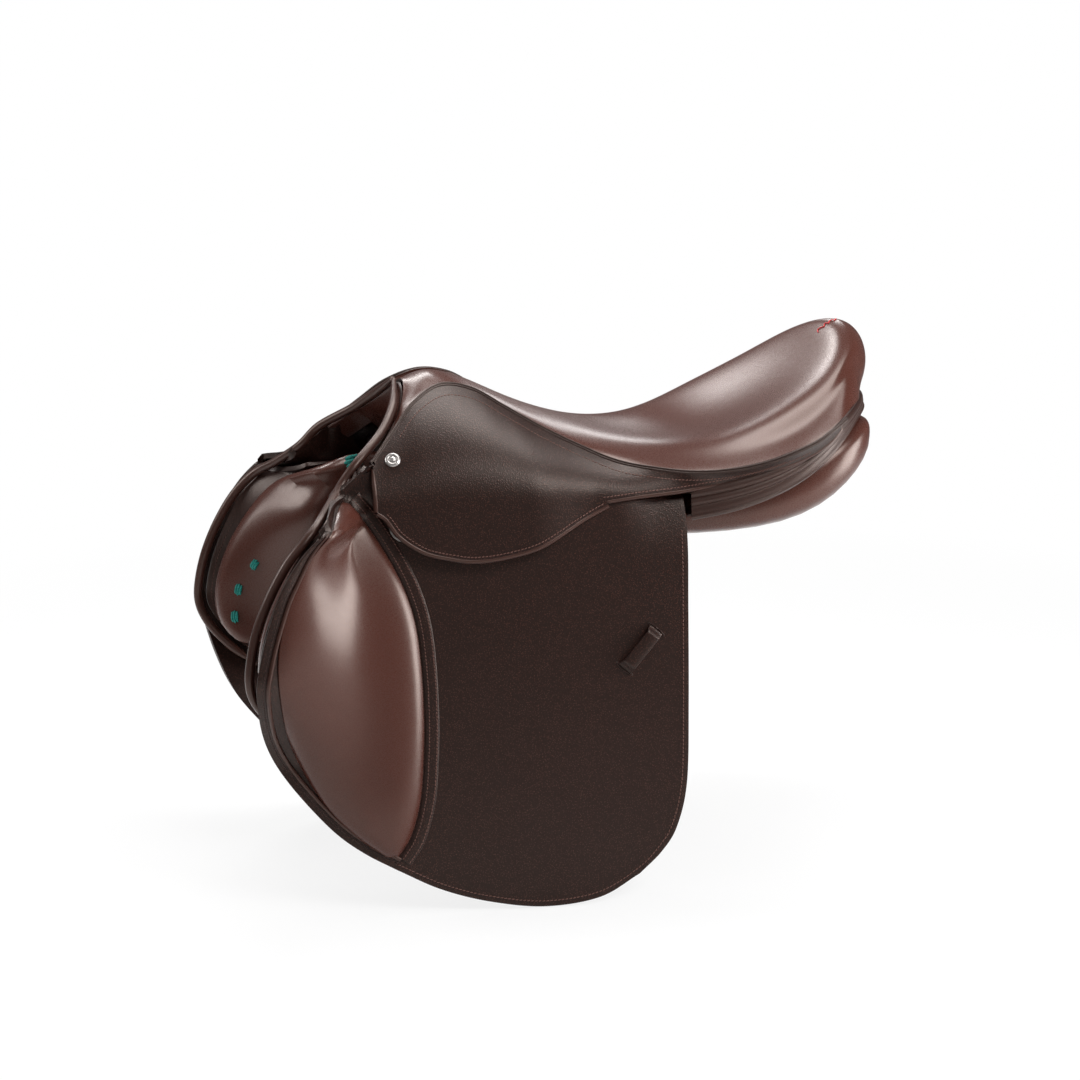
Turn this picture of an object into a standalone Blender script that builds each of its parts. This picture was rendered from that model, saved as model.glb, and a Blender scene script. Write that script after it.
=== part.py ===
"""A leather jumping saddle: tree, steel work, seat, skirts, flaps, knee pads, panels and girth straps.

The saddle faces -X, +Z is up and the plane y = 0 runs along its middle. The origin lies under the deepest
part of the seat, level with the lowest line of the two panels. Outlines are written in millimetres for
the design size and go through fit() or fit_side(), which stretch them to the driving dimensions.
Thicknesses, clearances and steel sizes are added after that, so they never stretch.
"""
import math

import bmesh
import bpy
from mathutils import Matrix, Vector

MM = 0.001

# Driving dimensions, in millimetres
SEAT_LENGTH = 441.0  # saddle nail to the middle of the cantle, a 17.5 inch seat
SEAT_WIDTH = 295.0  # welt to welt across the widest part of the seat
FLAP_LENGTH = 324.0  # fold line to the lowest point of the flap
FLAP_LEATHER = 5.0
SKIRT_LEATHER = 4.0
SWEAT_LEATHER = 4.0
SEAT_LEATHER = 2.5
LINING_LEATHER = 2.0
SEAT_FOAM = 17.0
FOAM_INSET = 0.3  # share of the outermost strip that the foam leaves free
ARCH_INSET = 0.6  # the same for the head lining inside the arch
TREE_THICKNESS = 8.0
WEB_THICKNESS = 1.5
SPRING_THICKNESS = 2.0
HEAD_PLATE_THICKNESS = 3.0
KNEE_PAD_RISE = 12.0
PAD_EDGE = 2.5  # thickness of the knee pad's edge
PANEL_LEG_THICKNESS = 36.0
ROLL_DIAMETER = 8.0
WELT_DIAMETER = 4.6
STRAP_WIDTH = 25.0
STRAP_THICKNESS = 4.0
STRAP_LENGTH = 262.0
STRAP_SPACING = 65.0
STRAP_TAPER = 22.0  # length of a strap's pointed end
GIRTH_WEB_THICKNESS = 2.0
BAR_LENGTH = 78.0
BAR_HEIGHT = 10.0
BAR_THICKNESS = 5.0
BAR_REACH = 12.0  # open space between the stirrup bar and its base plate
BAR_PLATE_THICKNESS = 6.0
BAR_OVERHANG = 16.0  # how far the open bar reaches behind its base plate
BAR_ARM = 8.0  # width of the arm in front
BAR_BEVEL = 4.0
CATCH_LENGTH = 11.0
CATCH_RADIUS = 4.0
NAIL_DIAMETER = 13.0
NAIL_DOME = 0.45  # height over radius
DEE_WIDTH = 22.0
DEE_DROP = 19.0
DEE_WIRE = 3.0
DEE_LIFT = 2.0  # flap to the ring's wire
CHAPE_LEATHER = 1.4
CHAPE_WIDTH = 9.0
CHAPE_BORE = 0.35  # room round the wire
KEEPER_LENGTH = 44.0
KEEPER_WIDTH = 14.0
KEEPER_LEATHER = 2.2

# Clearances between layers, in millimetres
TOUCH = 0.4  # pieces that lie on each other
STRAP_ROOM = 2.6  # flap to girth strap
BAR_ROOM = 9.5  # how far the skirt stands off the flap over the stirrup bar
FOLD_GAP = 2.0  # between the fixed and the lifting leather at the fold
HEAD_ROOM = 2.8  # fixed skirt to the flap's top
PAD_ROOM = 3.0  # flap to knee pad, which bends over the same flare
LEG_ROOM = 3.9  # sweat flap to the panel's leg
BLOCK_ROOM = 3.0  # knee block to the flap and to the sweat flap
WELT_GAP = 1.2  # seat leather to the welt, and the welt to the skirt

# The flap's face, in design millimetres
HALF_WIDTH = 103.555  # at the fold line beside the stirrup bar
SPLAY = 0.115  # outwards for each millimetre back
SLOPE = 0.16  # outwards for each millimetre down
FLARE = 63.0  # how far the flap stands out over the knee roll
FLARE_TOP, FLARE_RISE = 54.0, 22.0  # height where the flare starts and the drop over which it grows
FLARE_FADE, FLARE_RUN = -78.0, 95.0  # height where it starts to fade and the drop over which it goes
FLARE_REACH = 50.0  # how far back it reaches near its top
BUMP_END, BUMP_RUN = -88.0, 62.0  # where the skirt leaves the stirrup bar, and how soon it lies flat

ROOF_DROP = 4.5  # how much lower the under flap's flare starts, so that the flap can lift
ROLL_GAP = 3.5  # sweat flap's edge to the roll in front of it
SKIRT_BOW = 2.6  # roundness of the skirt between the welt and the fold line
SKIRT_OUT = 2.0  # how far the skirt's top edge stands outside the welt's middle

# Places of the small pieces, in design millimetres
BAR_X, BAR_Z = -139.0, 56.0
STRAP_X = -85.0  # front girth strap; the rear one hangs STRAP_SPACING behind it
STRAP_PIVOT_Z = 30.0
NAIL_X, NAIL_Z = -199.0, 80.0
DEE_X, DEE_Z = -193.0, 33.0
KEEPER_X, KEEPER_Z = 2.0, -85.0
KEEPER_TURN = 48.0  # degrees between the keeper loop and the saddle's length
KEEPER_RISE = 3.4
POINT_FRONT, POINT_WIDTH = -174.0, 66.0  # the tree's point below its shoulder
POINT_HEIGHTS = (92, 75, 60, 44, 30, 18)
POINT_TUCK = 26.0  # skirt's outer face to the tree's point
BLOCK_TOP, BLOCK_BOTTOM = -4.0, -176.0  # heights of the knee block's ends
BLOCK_SETBACK, BLOCK_WIDTH = 18.0, 44.0  # behind the under flap's front edge, and along the saddle

# Design size that the outlines are written for, in millimetres
DESIGN_SEAT_LENGTH = 441.0
DESIGN_SEAT_WIDTH = 295.0
DESIGN_FLAP_LENGTH = 324.0
DESIGN_STACK = 29.0  # seat leather, foam, web and tree together
DESIGN_UNDER = 20.0  # flap's outer face to the sweat flap's inner face
FOLD_Z = 40.0  # height of the line that flap and skirt lift about
SCALE_X = SEAT_LENGTH / DESIGN_SEAT_LENGTH
SCALE_Y = SEAT_WIDTH / DESIGN_SEAT_WIDTH
SCALE_DROP = FLAP_LENGTH / DESIGN_FLAP_LENGTH

UP = Vector((0, 0, 1))
LEFT, RIGHT = -1, 1
SIDES = ((LEFT, "left"), (RIGHT, "right"))
SPLINE_STEPS = 12
ROW_POWER = 1.25  # gathers the rows of the side leather near the top, where it bends most
FLARE_COLUMNS = (0, 0.03, 0.06, 0.1, 0.14, 0.18, 0.22, 0.26, 0.3, 0.35, 0.42, 0.52, 0.66, 0.83, 1)

# Depths counted inwards from an outer face, in millimetres
SWEAT_DEPTH = FLAP_LEATHER + STRAP_ROOM + STRAP_THICKNESS + 4.4  # flap's outer face to the sweat flap's
WEB_DEPTH = TOUCH  # under the full foam
TREE_DEPTH = WEB_DEPTH + WEB_THICKNESS + TOUCH
UNDER_TREE = TREE_DEPTH + TREE_THICKNESS + 2 * TOUCH
STACK_GROWTH = SEAT_LEATHER + SEAT_FOAM + WEB_THICKNESS + TREE_THICKNESS - DESIGN_STACK
UNDER_GROWTH = SWEAT_DEPTH + SWEAT_LEATHER - DESIGN_UNDER

# Seat: each station runs from the middle over the crest and the side to the welt.
# The middle is (x, z); the other three are (x, y, z).
SEAT_STATIONS = (
    ((-170, 131), (-179, 36, 114), (-196, 62, 95), (-217, 87, 76)),
    ((-157, 137), (-165, 28, 128), (-178, 46, 113), (-194, 68, 99)),
    ((-149, 138.5), (-153, 22, 134), (-161, 36, 126.5), (-173, 51, 119)),
    ((-140, 138), (-141, 16, 137), (-143, 26, 136), (-147, 37, 132.5)),
    ((-118, 132), (-118, 18, 131), (-118, 30, 130), (-118, 38, 128)),
    ((-92, 118), (-92, 24, 117), (-92, 39, 116), (-92, 50, 113)),
    ((-65, 105), (-65, 30, 103), (-65, 49, 101), (-65, 63, 97)),
    ((-35, 94), (-35, 38, 92), (-35, 61, 87), (-35, 78, 82)),
    ((-5, 84), (-5, 45, 83), (-5, 72, 78), (-5, 94, 70)),
    ((25, 76), (25, 55, 78), (25, 84, 73), (25, 110, 65)),
    ((55, 72), (55, 66, 78), (55, 98, 70), (55, 124, 63)),
    ((85, 74), (85, 77, 83), (85, 110, 74), (85, 136, 66)),
    ((115, 83), (113, 87, 95), (112, 120, 82), (110, 144, 72)),
    ((145, 98), (139, 89, 107), (136, 124, 91), (133, 147, 80)),
    ((172, 116), (163, 87, 119), (158, 120, 101), (154, 146, 88)),
    ((195, 135), (183, 83, 129), (175, 113, 113), (170, 141, 97)),
    ((212, 154), (199, 76, 140), (190, 104, 123), (184, 132, 104)),
    ((225, 170), (213, 62, 151), (205, 88, 137), (198, 118, 109)),
    ((238, 170), (229, 50, 159), (221, 76, 143), (211, 101, 111)),
    ((249, 161), (239, 46, 151), (230, 68, 135), (219, 84, 112)),
    ((254, 146), (245, 42, 138), (235, 61, 126), (225, 68, 111)),
    ((252, 127), (243, 37, 122), (234, 52, 116), (229, 55, 110)),
    ((242, 109), (240, 22, 109), (236, 38, 110), (232, 49, 110)),
)
WELT_STATIONS = 17  # stations whose edge is sewn to the skirt
TREE_FIRST, TREE_LAST = 1, 15  # stations that the tree spans
HOLE_FIRST, HOLE_LAST = 6, 13  # stations of the opening that the webs cross
HEAD_PLATE_LAST = 4  # last station of the steel plate under the tree's head
SPRING_FIRST, SPRING_LAST = 5, 14
WEB_FIRST, WEB_LAST = 4, 14
POINT_FIRST, POINT_LAST = 3, 5  # stations that the tree's points hang from
GIRTH_FIRST, GIRTH_LAST = 5, 8
COLUMNS = 13  # points across the seat: welt, side, crest and middle, with one between each two
MIDDLE_COLUMN = COLUMNS // 2

# Front edge of the flap from the top corner down, and the rest of its outline, as (x, z).
# FLAP_HEAD is the top edge of the part above the fold.
FLAP_FRONT = ((-242, 39), (-269, 36), (-289, 16), (-305, -9), (-315, -35), (-323, -62), (-328, -87),
              (-326, -109), (-320, -135), (-311, -159), (-299, -180), (-280, -205), (-259, -228),
              (-237, -245), (-213, -259))
FLAP_BOTTOM = ((-213, -259), (-176, -278), (-135, -291), (-88, -298), (-41, -293), (-6, -275))
FLAP_REAR = ((48, 39), (47, 13), (45, -46), (42, -130), (38, -198), (28, -236), (14, -257), (-6, -275))
FLAP_HEAD = ((-242, 48), (-229, 59), (-216, 69), (-203, 60), (-190, 47), (-130, 47), (-70, 47), (-40, 51),
             (0, 51), (46, 52.5))
SWEAT_FRONT = ((-240, 46), (-257, 35), (-273, 22), (-290, 4), (-305, -21), (-316, -47), (-322, -72),
               (-323, -90), (-318, -104), (-308, -117), (-295, -129), (-279, -140))
SWEAT_BOTTOM = ((-279, -140), (-230, -178), (-170, -208), (-100, -229), (-45, -233), (-10, -215))
SWEAT_REAR = ((32, 46), (30, 0), (26, -70), (20, -140), (8, -188), (-10, -215))
KNEE_PAD_REAR = ((-233, 30), (-220, 21), (-205, -2), (-194, -27), (-186, -57), (-183, -94), (-183, -136),
                 (-185, -169), (-189, -202), (-198, -231), (-210, -249))
KNEE_PAD_FRONT = ((-243, 30), (-267, 27), (-285, 11), (-299, -16), (-308, -48), (-311, -73), (-309, -99),
                  (-300, -137), (-284, -176), (-265, -208), (-241, -233), (-219, -249))
SKIRT_LOBE = ((-216, 39), (-209, 34), (-198, 19), (-179, 6), (-158, 0), (-138, -3), (-113, -1), (-82, 6.5),
              (-47, 24), (-21, 36.5))
SKIRT_ENDS = (-215, -205, -184, -160, 165)  # more columns of the fixed skirt than the seat's stations give
STRIP_LOWER = ((-22, 41), (6, 43), (48, 47), (97, 56), (139, 69), (165, 82))
FACING_LOWER = ((52, 124, 22), (68, 129, 25), (85, 133, 28), (128, 135, 42), (156, 131, 56), (177, 122, 69),
                (198, 105, 84), (217, 80, 94), (236, 52, 95), (243, 0, 97))
FACING_UPPER = ((52, 122, 44), (68, 128, 45.5), (85, 135, 47), (128, 142, 58), (156, 139, 73), (177, 130, 88),
                (197, 112, 101), (216, 83, 106.5), (233, 48, 109.2), (240, 0, 108.7))

# The roll's way round the head, before it follows the under flap's front edge
ROLL_HEAD = ((-177, 2.6, 131), (-184.5, 32, 115), (-200, 57.5, 97), (-222, 81, 74), (-237, 89, 54.5))

# Panels: sections of the body as (x, middle y, middle z, half width, half depth)
PANEL_BODY = (
    (234, 58, 78, 18, 12), (224, 62, 71, 30, 21), (205, 67, 60, 38, 28), (180, 70, 45, 43, 30),
    (145, 72, 31, 45, 28), (95, 71, 21, 46, 22.5), (45, 67, 18, 41, 20), (-15, 62, 20, 37, 21),
    (-70, 56, 26, 31, 22), (-98, 51, 30, 25, 22), (-125, 49, 34, 23, 21), (-160, 46, 38, 21, 20),
)
# Legs: centre line (x, z) with the half width towards the rear edge as (x, z)
PANEL_LEG = (
    (-189, 45, 22, -20), (-212, 28, 27, -24), (-238, 1, 30, -24), (-261, -28, 32, -20),
    (-279, -60, 33, -14), (-289, -89, 31, -8), (-294, -109, 23, -3), (-294, -119, 11, -1),
)
LEG_RINGS = 13
LEG_OUT, LEG_UP = 8, 4  # from the body's last section to the one that turns into the leg
LEG_BLEND = ((0.0, 0.5), (0.14, 0.85), (0.28, 1.0))  # share of the leg, how much of its own section it has

# Laces on the leg's inner face, as (station along the leg, column round it, half length, half height)
LACES = ((0.25, 7.6, 8.0, 6.5), (7.5, 9.7, 5.5, 4.0), (9.0, 9.4, 5.5, 4.0), (10.4, 9.4, 5.5, 4.0))
PANEL_COLUMNS = 14
LACE_DEPTH = 1.2


def smooth(t):
    """Eases from 0 to 1 as t goes from 0 to 1."""
    t = min(1.0, max(0.0, t))
    return t * t * (3 - 2 * t)


def lerp(pairs, value):
    """Reads a height or place off a list of (value, result) pairs."""
    pairs = sorted(pairs)
    if value <= pairs[0][0]:
        return pairs[0][1]
    for (a, fa), (b, fb) in zip(pairs, pairs[1:]):
        if value <= b:
            return fa + (fb - fa) * (value - a) / (b - a)
    return pairs[-1][1]


def fit(x, y, z):
    """Takes a design point of seat or panel, in millimetres, to its real place in metres."""
    return Vector((x * SCALE_X, y * SCALE_Y, z)) * MM


def fit_side(x, y, z):
    """The same for the leather at the sides, which is longer or shorter below the fold line."""
    return fit(x, y, FOLD_Z - (FOLD_Z - z) * SCALE_DROP if z < FOLD_Z else z)


def shares(count, power=1.0):
    """Shares from 0 to 1, gathered near 0 if the power is over 1."""
    return [(k / (count - 1)) ** power for k in range(count)]


def spline(points, places):
    """Points on a smooth curve through the given ones, at the given shares of its length."""
    points = [Vector(p) for p in points]
    ends = [points[0] * 2 - points[1], *points, points[-1] * 2 - points[-2]]
    dense = []
    for a, b, c, d in zip(ends, ends[1:], ends[2:], ends[3:]):
        for k in range(SPLINE_STEPS):
            t = k / SPLINE_STEPS
            dense.append(0.5 * (2 * b + (c - a) * t + (2 * a - 5 * b + 4 * c - d) * t * t
                                + (3 * b - a - 3 * c + d) * t ** 3))
    dense.append(points[-1])
    lengths = [0.0]
    for a, b in zip(dense, dense[1:]):
        lengths.append(lengths[-1] + (b - a).length)
    result, k = [], 0
    for place in places:
        goal = lengths[-1] * place
        while k < len(dense) - 2 and lengths[k + 1] < goal:
            k += 1
        span = lengths[k + 1] - lengths[k]
        result.append(dense[k].lerp(dense[k + 1], min(1.0, (goal - lengths[k]) / span)))
    return result


def patch(top, bottom, front, rear, across, down):
    """Fills four edges with a grid whose columns and rows stand at the given shares."""
    top, bottom = spline(top, across), spline(bottom, across)
    front, rear = spline(front, down), spline(rear, down)
    grid = []
    for i, v in enumerate(down):
        line = []
        for j, u in enumerate(across):
            flat = front[i] * (1 - u) + rear[i] * u + top[j] * (1 - v) + bottom[j] * v
            corners = ((top[0] * (1 - u) + top[-1] * u) * (1 - v)
                       + (bottom[0] * (1 - u) + bottom[-1] * u) * v)
            line.append(flat - corners)
        grid.append(line)
    return grid


# Lateral surfaces

def edge_x(z):
    """Where the flap's front edge stands at a height."""
    return lerp([(p[1], p[0]) for p in FLAP_FRONT[1:]], z)


def flap_face(x, z, drop=0.0):
    """Half width to the flap's outer face, flaring out over the knee roll from a height that drop lowers."""
    base = HALF_WIDTH + SPLAY * (x - BAR_X) + SLOPE * (FOLD_Z - z)
    fade = (1 - 0.08 * smooth((20 - z) / 100)) * (1 - smooth((FLARE_FADE - z) / FLARE_RUN))
    reach = FLARE_REACH * (1 + 1.2 * smooth((30 - z) / 100))
    top = smooth((FLARE_TOP - drop - z) / FLARE_RISE)
    return base + FLARE * top * fade * smooth(1 - (x - edge_x(z)) / reach)


def layer(x, z, side, offset, drop=0.0):
    """A point on the flap's side of the saddle, offset outwards from the flap's outer face."""
    place = fit_side(x, flap_face(x, z, drop), z)
    return Vector((place.x, side * (place.y + offset * MM), place.z))


def bar_bump(x):
    """How much the skirt stands off over the stirrup bar: 1 over it, 0 behind it."""
    return 1 - smooth((x - BUMP_END) / BUMP_RUN)


def skirt_offset(x):
    """Offset of the skirt's outer face from the flap's outer face."""
    return TOUCH + SKIRT_LEATHER + BAR_ROOM * bar_bump(x)


def welt_line():
    """The middle of the welt for the right side, in metres, and the way down from it at each station."""
    flanks = [fit(*station[2]) for station in SEAT_STATIONS]
    edges = [fit(*station[3]) for station in SEAT_STATIONS]
    line = []
    for k in range(WELT_STATIONS):
        along = (edges[k + 1] - edges[max(0, k - 1)]).normalized()
        across = edges[k] - flanks[k]
        away = (across - along * across.dot(along)).normalized()
        down = along.cross(Vector((0, -1, 0))).normalized()
        line.append((edges[k] + away * (WELT_DIAMETER / 2 + WELT_GAP) * MM, down))
    return line


def skirt_line():
    """The fixed skirt's top edge for the right side, just under the welt, in metres."""
    return [middle + (down * (WELT_DIAMETER / 2 + WELT_GAP + 4 * TOUCH) + Vector((0, SKIRT_OUT, 0))) * MM
            for middle, down in welt_line()]


def skirt_edge(x):
    """Height and half width of the fixed skirt's top edge, in metres."""
    line = skirt_line()
    place = x * SCALE_X * MM
    return lerp([(p.x, p.z) for p in line], place), lerp([(p.x, p.y) for p in line], place)


def skirt_top_point(x, z, side, depth):
    """A point of the fixed skirt, which curves in from the fold line to the welt."""
    high, edge = skirt_edge(x)
    fold = layer(x, FOLD_Z, RIGHT, skirt_offset(x) - depth)
    span = max(0.0, min(1.0, (high - z * MM) / (high - FOLD_Z * MM)))
    bow = 1 - (1 - span) ** SKIRT_BOW
    y = edge - depth * MM + (fold.y - edge + depth * MM) * bow
    return Vector((x * SCALE_X * MM, side * y, z * MM))


# Builders

def material(name, colour, roughness, metallic=0.0):
    """One Principled BSDF material."""
    result = bpy.data.materials.new(name)
    result.use_nodes = True
    shader = result.node_tree.nodes["Principled BSDF"]
    shader.inputs["Base Color"].default_value = (*colour, 1.0)
    shader.inputs["Roughness"].default_value = roughness
    shader.inputs["Metallic"].default_value = metallic
    result.diffuse_color = (*colour, 1.0)
    return result


def add_object(name, data, look, matrix=None):
    """Links a mesh or curve into the saddle's collection under its own name."""
    result = bpy.data.objects.new(name, data)
    data.materials.append(look)
    if matrix is not None:
        result.matrix_world = matrix
    bpy.data.collections["saddle"].objects.link(result)
    return result


def finish_mesh(name, mesh_bm, look, origin=None):
    """Turns a bmesh into an object whose origin may sit on a joint's axis."""
    bmesh.ops.recalc_face_normals(mesh_bm, faces=mesh_bm.faces)
    if origin is not None:
        bmesh.ops.translate(mesh_bm, verts=mesh_bm.verts, vec=-origin)
    mesh = bpy.data.meshes.new(name)
    mesh_bm.to_mesh(mesh)
    mesh_bm.free()
    mesh.shade_smooth()
    mesh.set_sharp_from_angle(angle=math.radians(40))
    result = add_object(name, mesh, look)
    if origin is not None:
        result.location = origin
    return result


def add_slab(name, outer, inner, look, origin=None):
    """A closed pad between two grids of the same size."""
    bm = bmesh.new()
    shells = [[[bm.verts.new(p) for p in line] for line in grid] for grid in (outer, inner)]
    rows, columns = len(outer), len(outer[0])
    for shell in shells:
        for i in range(rows - 1):
            for j in range(columns - 1):
                bm.faces.new((shell[i][j], shell[i][j + 1], shell[i + 1][j + 1], shell[i + 1][j]))
    ring = ([(0, j) for j in range(columns)] + [(i, columns - 1) for i in range(1, rows)]
            + [(rows - 1, j) for j in range(columns - 2, -1, -1)] + [(i, 0) for i in range(rows - 2, 0, -1)])
    for (a, b), (c, d) in zip(ring, ring[1:] + ring[:1]):
        bm.faces.new((shells[0][a][b], shells[0][c][d], shells[1][c][d], shells[1][a][b]))
    return finish_mesh(name, bm, look, origin)


def add_sheet(name, grid, thickness, look, outwards, origin=None, skip=()):
    """A leather or wood sheet: an open grid with Solidify, thickened away from the outward side."""
    bm = bmesh.new()
    verts = [[bm.verts.new(p) for p in line] for line in grid]
    for i in range(len(grid) - 1):
        for j in range(len(grid[0]) - 1):
            if (i, j) not in skip:
                bm.faces.new((verts[i][j], verts[i][j + 1], verts[i + 1][j + 1], verts[i + 1][j]))
    loose = [v for v in bm.verts if not v.link_faces]
    bmesh.ops.delete(bm, geom=loose, context="VERTS")
    bm.normal_update()
    total = sum((f.normal * f.calc_area() for f in bm.faces), Vector())
    if total.dot(outwards) < 0:
        bmesh.ops.reverse_faces(bm, faces=bm.faces)
    if origin is not None:
        bmesh.ops.translate(bm, verts=bm.verts, vec=-origin)
    mesh = bpy.data.meshes.new(name)
    bm.to_mesh(mesh)
    bm.free()
    mesh.shade_smooth()
    result = add_object(name, mesh, look)
    if origin is not None:
        result.location = origin
    thick = result.modifiers.new("thickness", "SOLIDIFY")
    thick.thickness = thickness * MM
    thick.offset = -1
    return result


def add_tube(name, points, diameter, look, cyclic=False, origin=None):
    """A cord or wire: a poly curve with a round bevel and filled caps."""
    data = bpy.data.curves.new(name, "CURVE")
    data.dimensions = "3D"
    data.bevel_depth = diameter / 2 * MM
    data.bevel_resolution = 1
    data.use_fill_caps = True
    line = data.splines.new("POLY")
    line.points.add(len(points) - 1)
    shift = origin if origin is not None else Vector()
    for target, p in zip(line.points, points):
        target.co = (*(p - shift), 1.0)
    line.use_cyclic_u = cyclic
    result = add_object(name, data, look)
    if origin is not None:
        result.location = origin
    return result


def add_plate(name, outline, thickness, look, matrix):
    """A flat piece: a filled outline, extruded both ways from its middle plane."""
    data = bpy.data.curves.new(name, "CURVE")
    data.dimensions = "2D"
    data.fill_mode = "BOTH"
    data.extrude = thickness / 2 * MM
    for loop in outline:
        line = data.splines.new("POLY")
        line.points.add(len(loop) - 1)
        for target, (x, y) in zip(line.points, loop):
            target.co = (x * MM, y * MM, 0.0, 1.0)
        line.use_cyclic_u = True
    return add_object(name, data, look, matrix)


def arc(cx, cy, radius, start, end, count):
    """Points of an arc in a plane, in millimetres and degrees."""
    return [(cx + radius * math.cos(math.radians(start + (end - start) * k / (count - 1))),
             cy + radius * math.sin(math.radians(start + (end - start) * k / (count - 1))))
            for k in range(count)]


# Seat surface

def seat_grid():
    """The outer face of the seat as rows of points from the left welt to the right welt."""
    rows = []
    for middle, *flank in SEAT_STATIONS:
        right = [Vector(p) for p in flank]
        left = [Vector((p.x, -p.y, p.z)) for p in reversed(right)]
        knots = [*left, Vector((middle[0], 0, middle[1])), *right]
        ends = [knots[0] * 2 - knots[1], *knots, knots[-1] * 2 - knots[-2]]
        row = []
        for a, b, c, d in zip(ends, ends[1:], ends[2:], ends[3:]):
            row += [b, (9 * (b + c) - a - d) / 16]
        row.append(knots[-1])
        rows.append([fit(p.x, p.y, p.z) for p in row])
    return rows


def sunk(grid, depth_of):
    """The grid moved inwards along its own normals, by a depth for each row and column."""
    rows, columns = len(grid), len(grid[0])
    result = []
    for i in range(rows):
        line = []
        for j in range(columns):
            along = grid[min(i + 1, rows - 1)][j] - grid[max(i - 1, 0)][j]
            across = grid[i][min(j + 1, columns - 1)] - grid[i][max(j - 1, 0)]
            line.append(grid[i][j] - along.cross(across).normalized() * depth_of(i, j) * MM)
        result.append(line)
    return result


def foam_depth(i, j):
    """Depth of the foam's underside: full in the middle, thinner towards the edges."""
    edge = min(j, COLUMNS - 1 - j)
    last = len(SEAT_STATIONS) - 1
    across = (0.4, 0.75, 1.0)[min(edge, 2)]
    along = min(1.0, 0.6 + 0.4 * i, 0.5 + 0.12 * (last - i))
    return SEAT_LEATHER + TOUCH + SEAT_FOAM * across * along


def drawn_in(grid, share):
    """The grid with its two outer columns moved towards their neighbours by that share."""
    return [[line[0].lerp(line[1], share), *line[1:-1], line[-1].lerp(line[-2], share)] for line in grid]


def below_foam(extra):
    """A depth function that follows the full foam and stays extra millimetres under it."""
    return lambda i, j: SEAT_LEATHER + TOUCH + SEAT_FOAM + extra


def part_of(grid, first, last, left, right):
    """Cuts rows and columns out of a grid."""
    return [line[left:right + 1] for line in grid[first:last + 1]]


def build_seat(looks):
    """Seat cover, foam, web, tree, springs and head plate, all from the one seat surface."""
    top = seat_grid()
    add_sheet("seat_cover", top, SEAT_LEATHER, looks["calf"], UP)
    under_cover = sunk(top, lambda i, j: SEAT_LEATHER + TOUCH * (1 if i < WEB_LAST else 2.5))
    add_slab("seat_foam", drawn_in(under_cover, FOAM_INSET)[:-1],
             drawn_in(sunk(top, foam_depth), FOAM_INSET)[:-1], looks["foam"])
    web = part_of(sunk(top, below_foam(WEB_DEPTH)), WEB_FIRST, WEB_LAST, 5, 7)
    add_sheet("seat_web", web, WEB_THICKNESS, looks["webbing"], UP)
    tree_top = sunk(top, below_foam(TREE_DEPTH))
    hole = {(i, j) for i in range(HOLE_FIRST - TREE_FIRST, HOLE_LAST - TREE_FIRST)
            for j in range(MIDDLE_COLUMN - 3, MIDDLE_COLUMN + 1)}
    shoulders = {(i, j) for i in (0, 1) for j in (0, 1, COLUMNS - 5, COLUMNS - 4)}
    tree = part_of(tree_top, TREE_FIRST, TREE_LAST, 1, COLUMNS - 2)
    add_sheet("tree", tree, TREE_THICKNESS, looks["tree"], UP, skip=hole | shoulders)
    under = sunk(top, below_foam(UNDER_TREE))
    head = sunk(top, below_foam(UNDER_TREE + 4 * TOUCH))
    plate = part_of(head, TREE_FIRST, HEAD_PLATE_LAST, 3, COLUMNS - 4)
    add_sheet("head_plate", plate, HEAD_PLATE_THICKNESS, looks["steel"], UP)
    for side, word in SIDES:
        first = MIDDLE_COLUMN + side * 2 if side > 0 else MIDDLE_COLUMN - 3
        strip = part_of(under, SPRING_FIRST, SPRING_LAST, first, first + 1)
        add_sheet(f"spring_{word}", strip, SPRING_THICKNESS, looks["steel"], UP)


def build_head(looks):
    """The lining that closes the gullet arch in front and under the tree's head."""
    top = seat_grid()
    arch = sunk(top, below_foam(UNDER_TREE + HEAD_PLATE_THICKNESS + LINING_LEATHER + 8 * TOUCH))
    front = sunk(top, lambda i, j: SEAT_LEATHER + LINING_LEATHER)
    middle = sunk(top, lambda i, j: SEAT_LEATHER + SEAT_FOAM + 2.5)
    ahead = Vector((-SEAT_LEATHER - LINING_LEATHER - 0.5, 0, 0)) * MM
    face = [[p + ahead for p in line] for line in (front[0], middle[0], arch[0])]
    rows = [line[2:COLUMNS - 2] for line in (*face, arch[1], arch[2])]
    grid = rows[:3] + drawn_in(rows[3:], ARCH_INSET)
    add_sheet("head_lining", grid, LINING_LEATHER, looks["calf"], Vector((-1, 0, 0)))


# Leather at the sides

def side_out(side):
    return Vector((0, side, 0))


def fold_axis(side):
    """Two points of the line that the flap and the skirt lift about."""
    reach = TOUCH + SKIRT_LEATHER + BAR_ROOM
    ends = []
    for x in (-200.0, 0.0):
        ends.append(layer(x, FOLD_Z, side, reach))
    return ends


def hinge_origin(side):
    """The fold axis straight above the stirrup bar."""
    return fold_axis(side)[0].lerp(fold_axis(side)[1], 0.4)


def lifted(grid, side, offset, drop=0.0):
    """Lays a grid of (x, z) points on the flap's side of the saddle."""
    return [[layer(p.x, p.y, side, offset, drop) for p in line] for line in grid]


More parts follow.
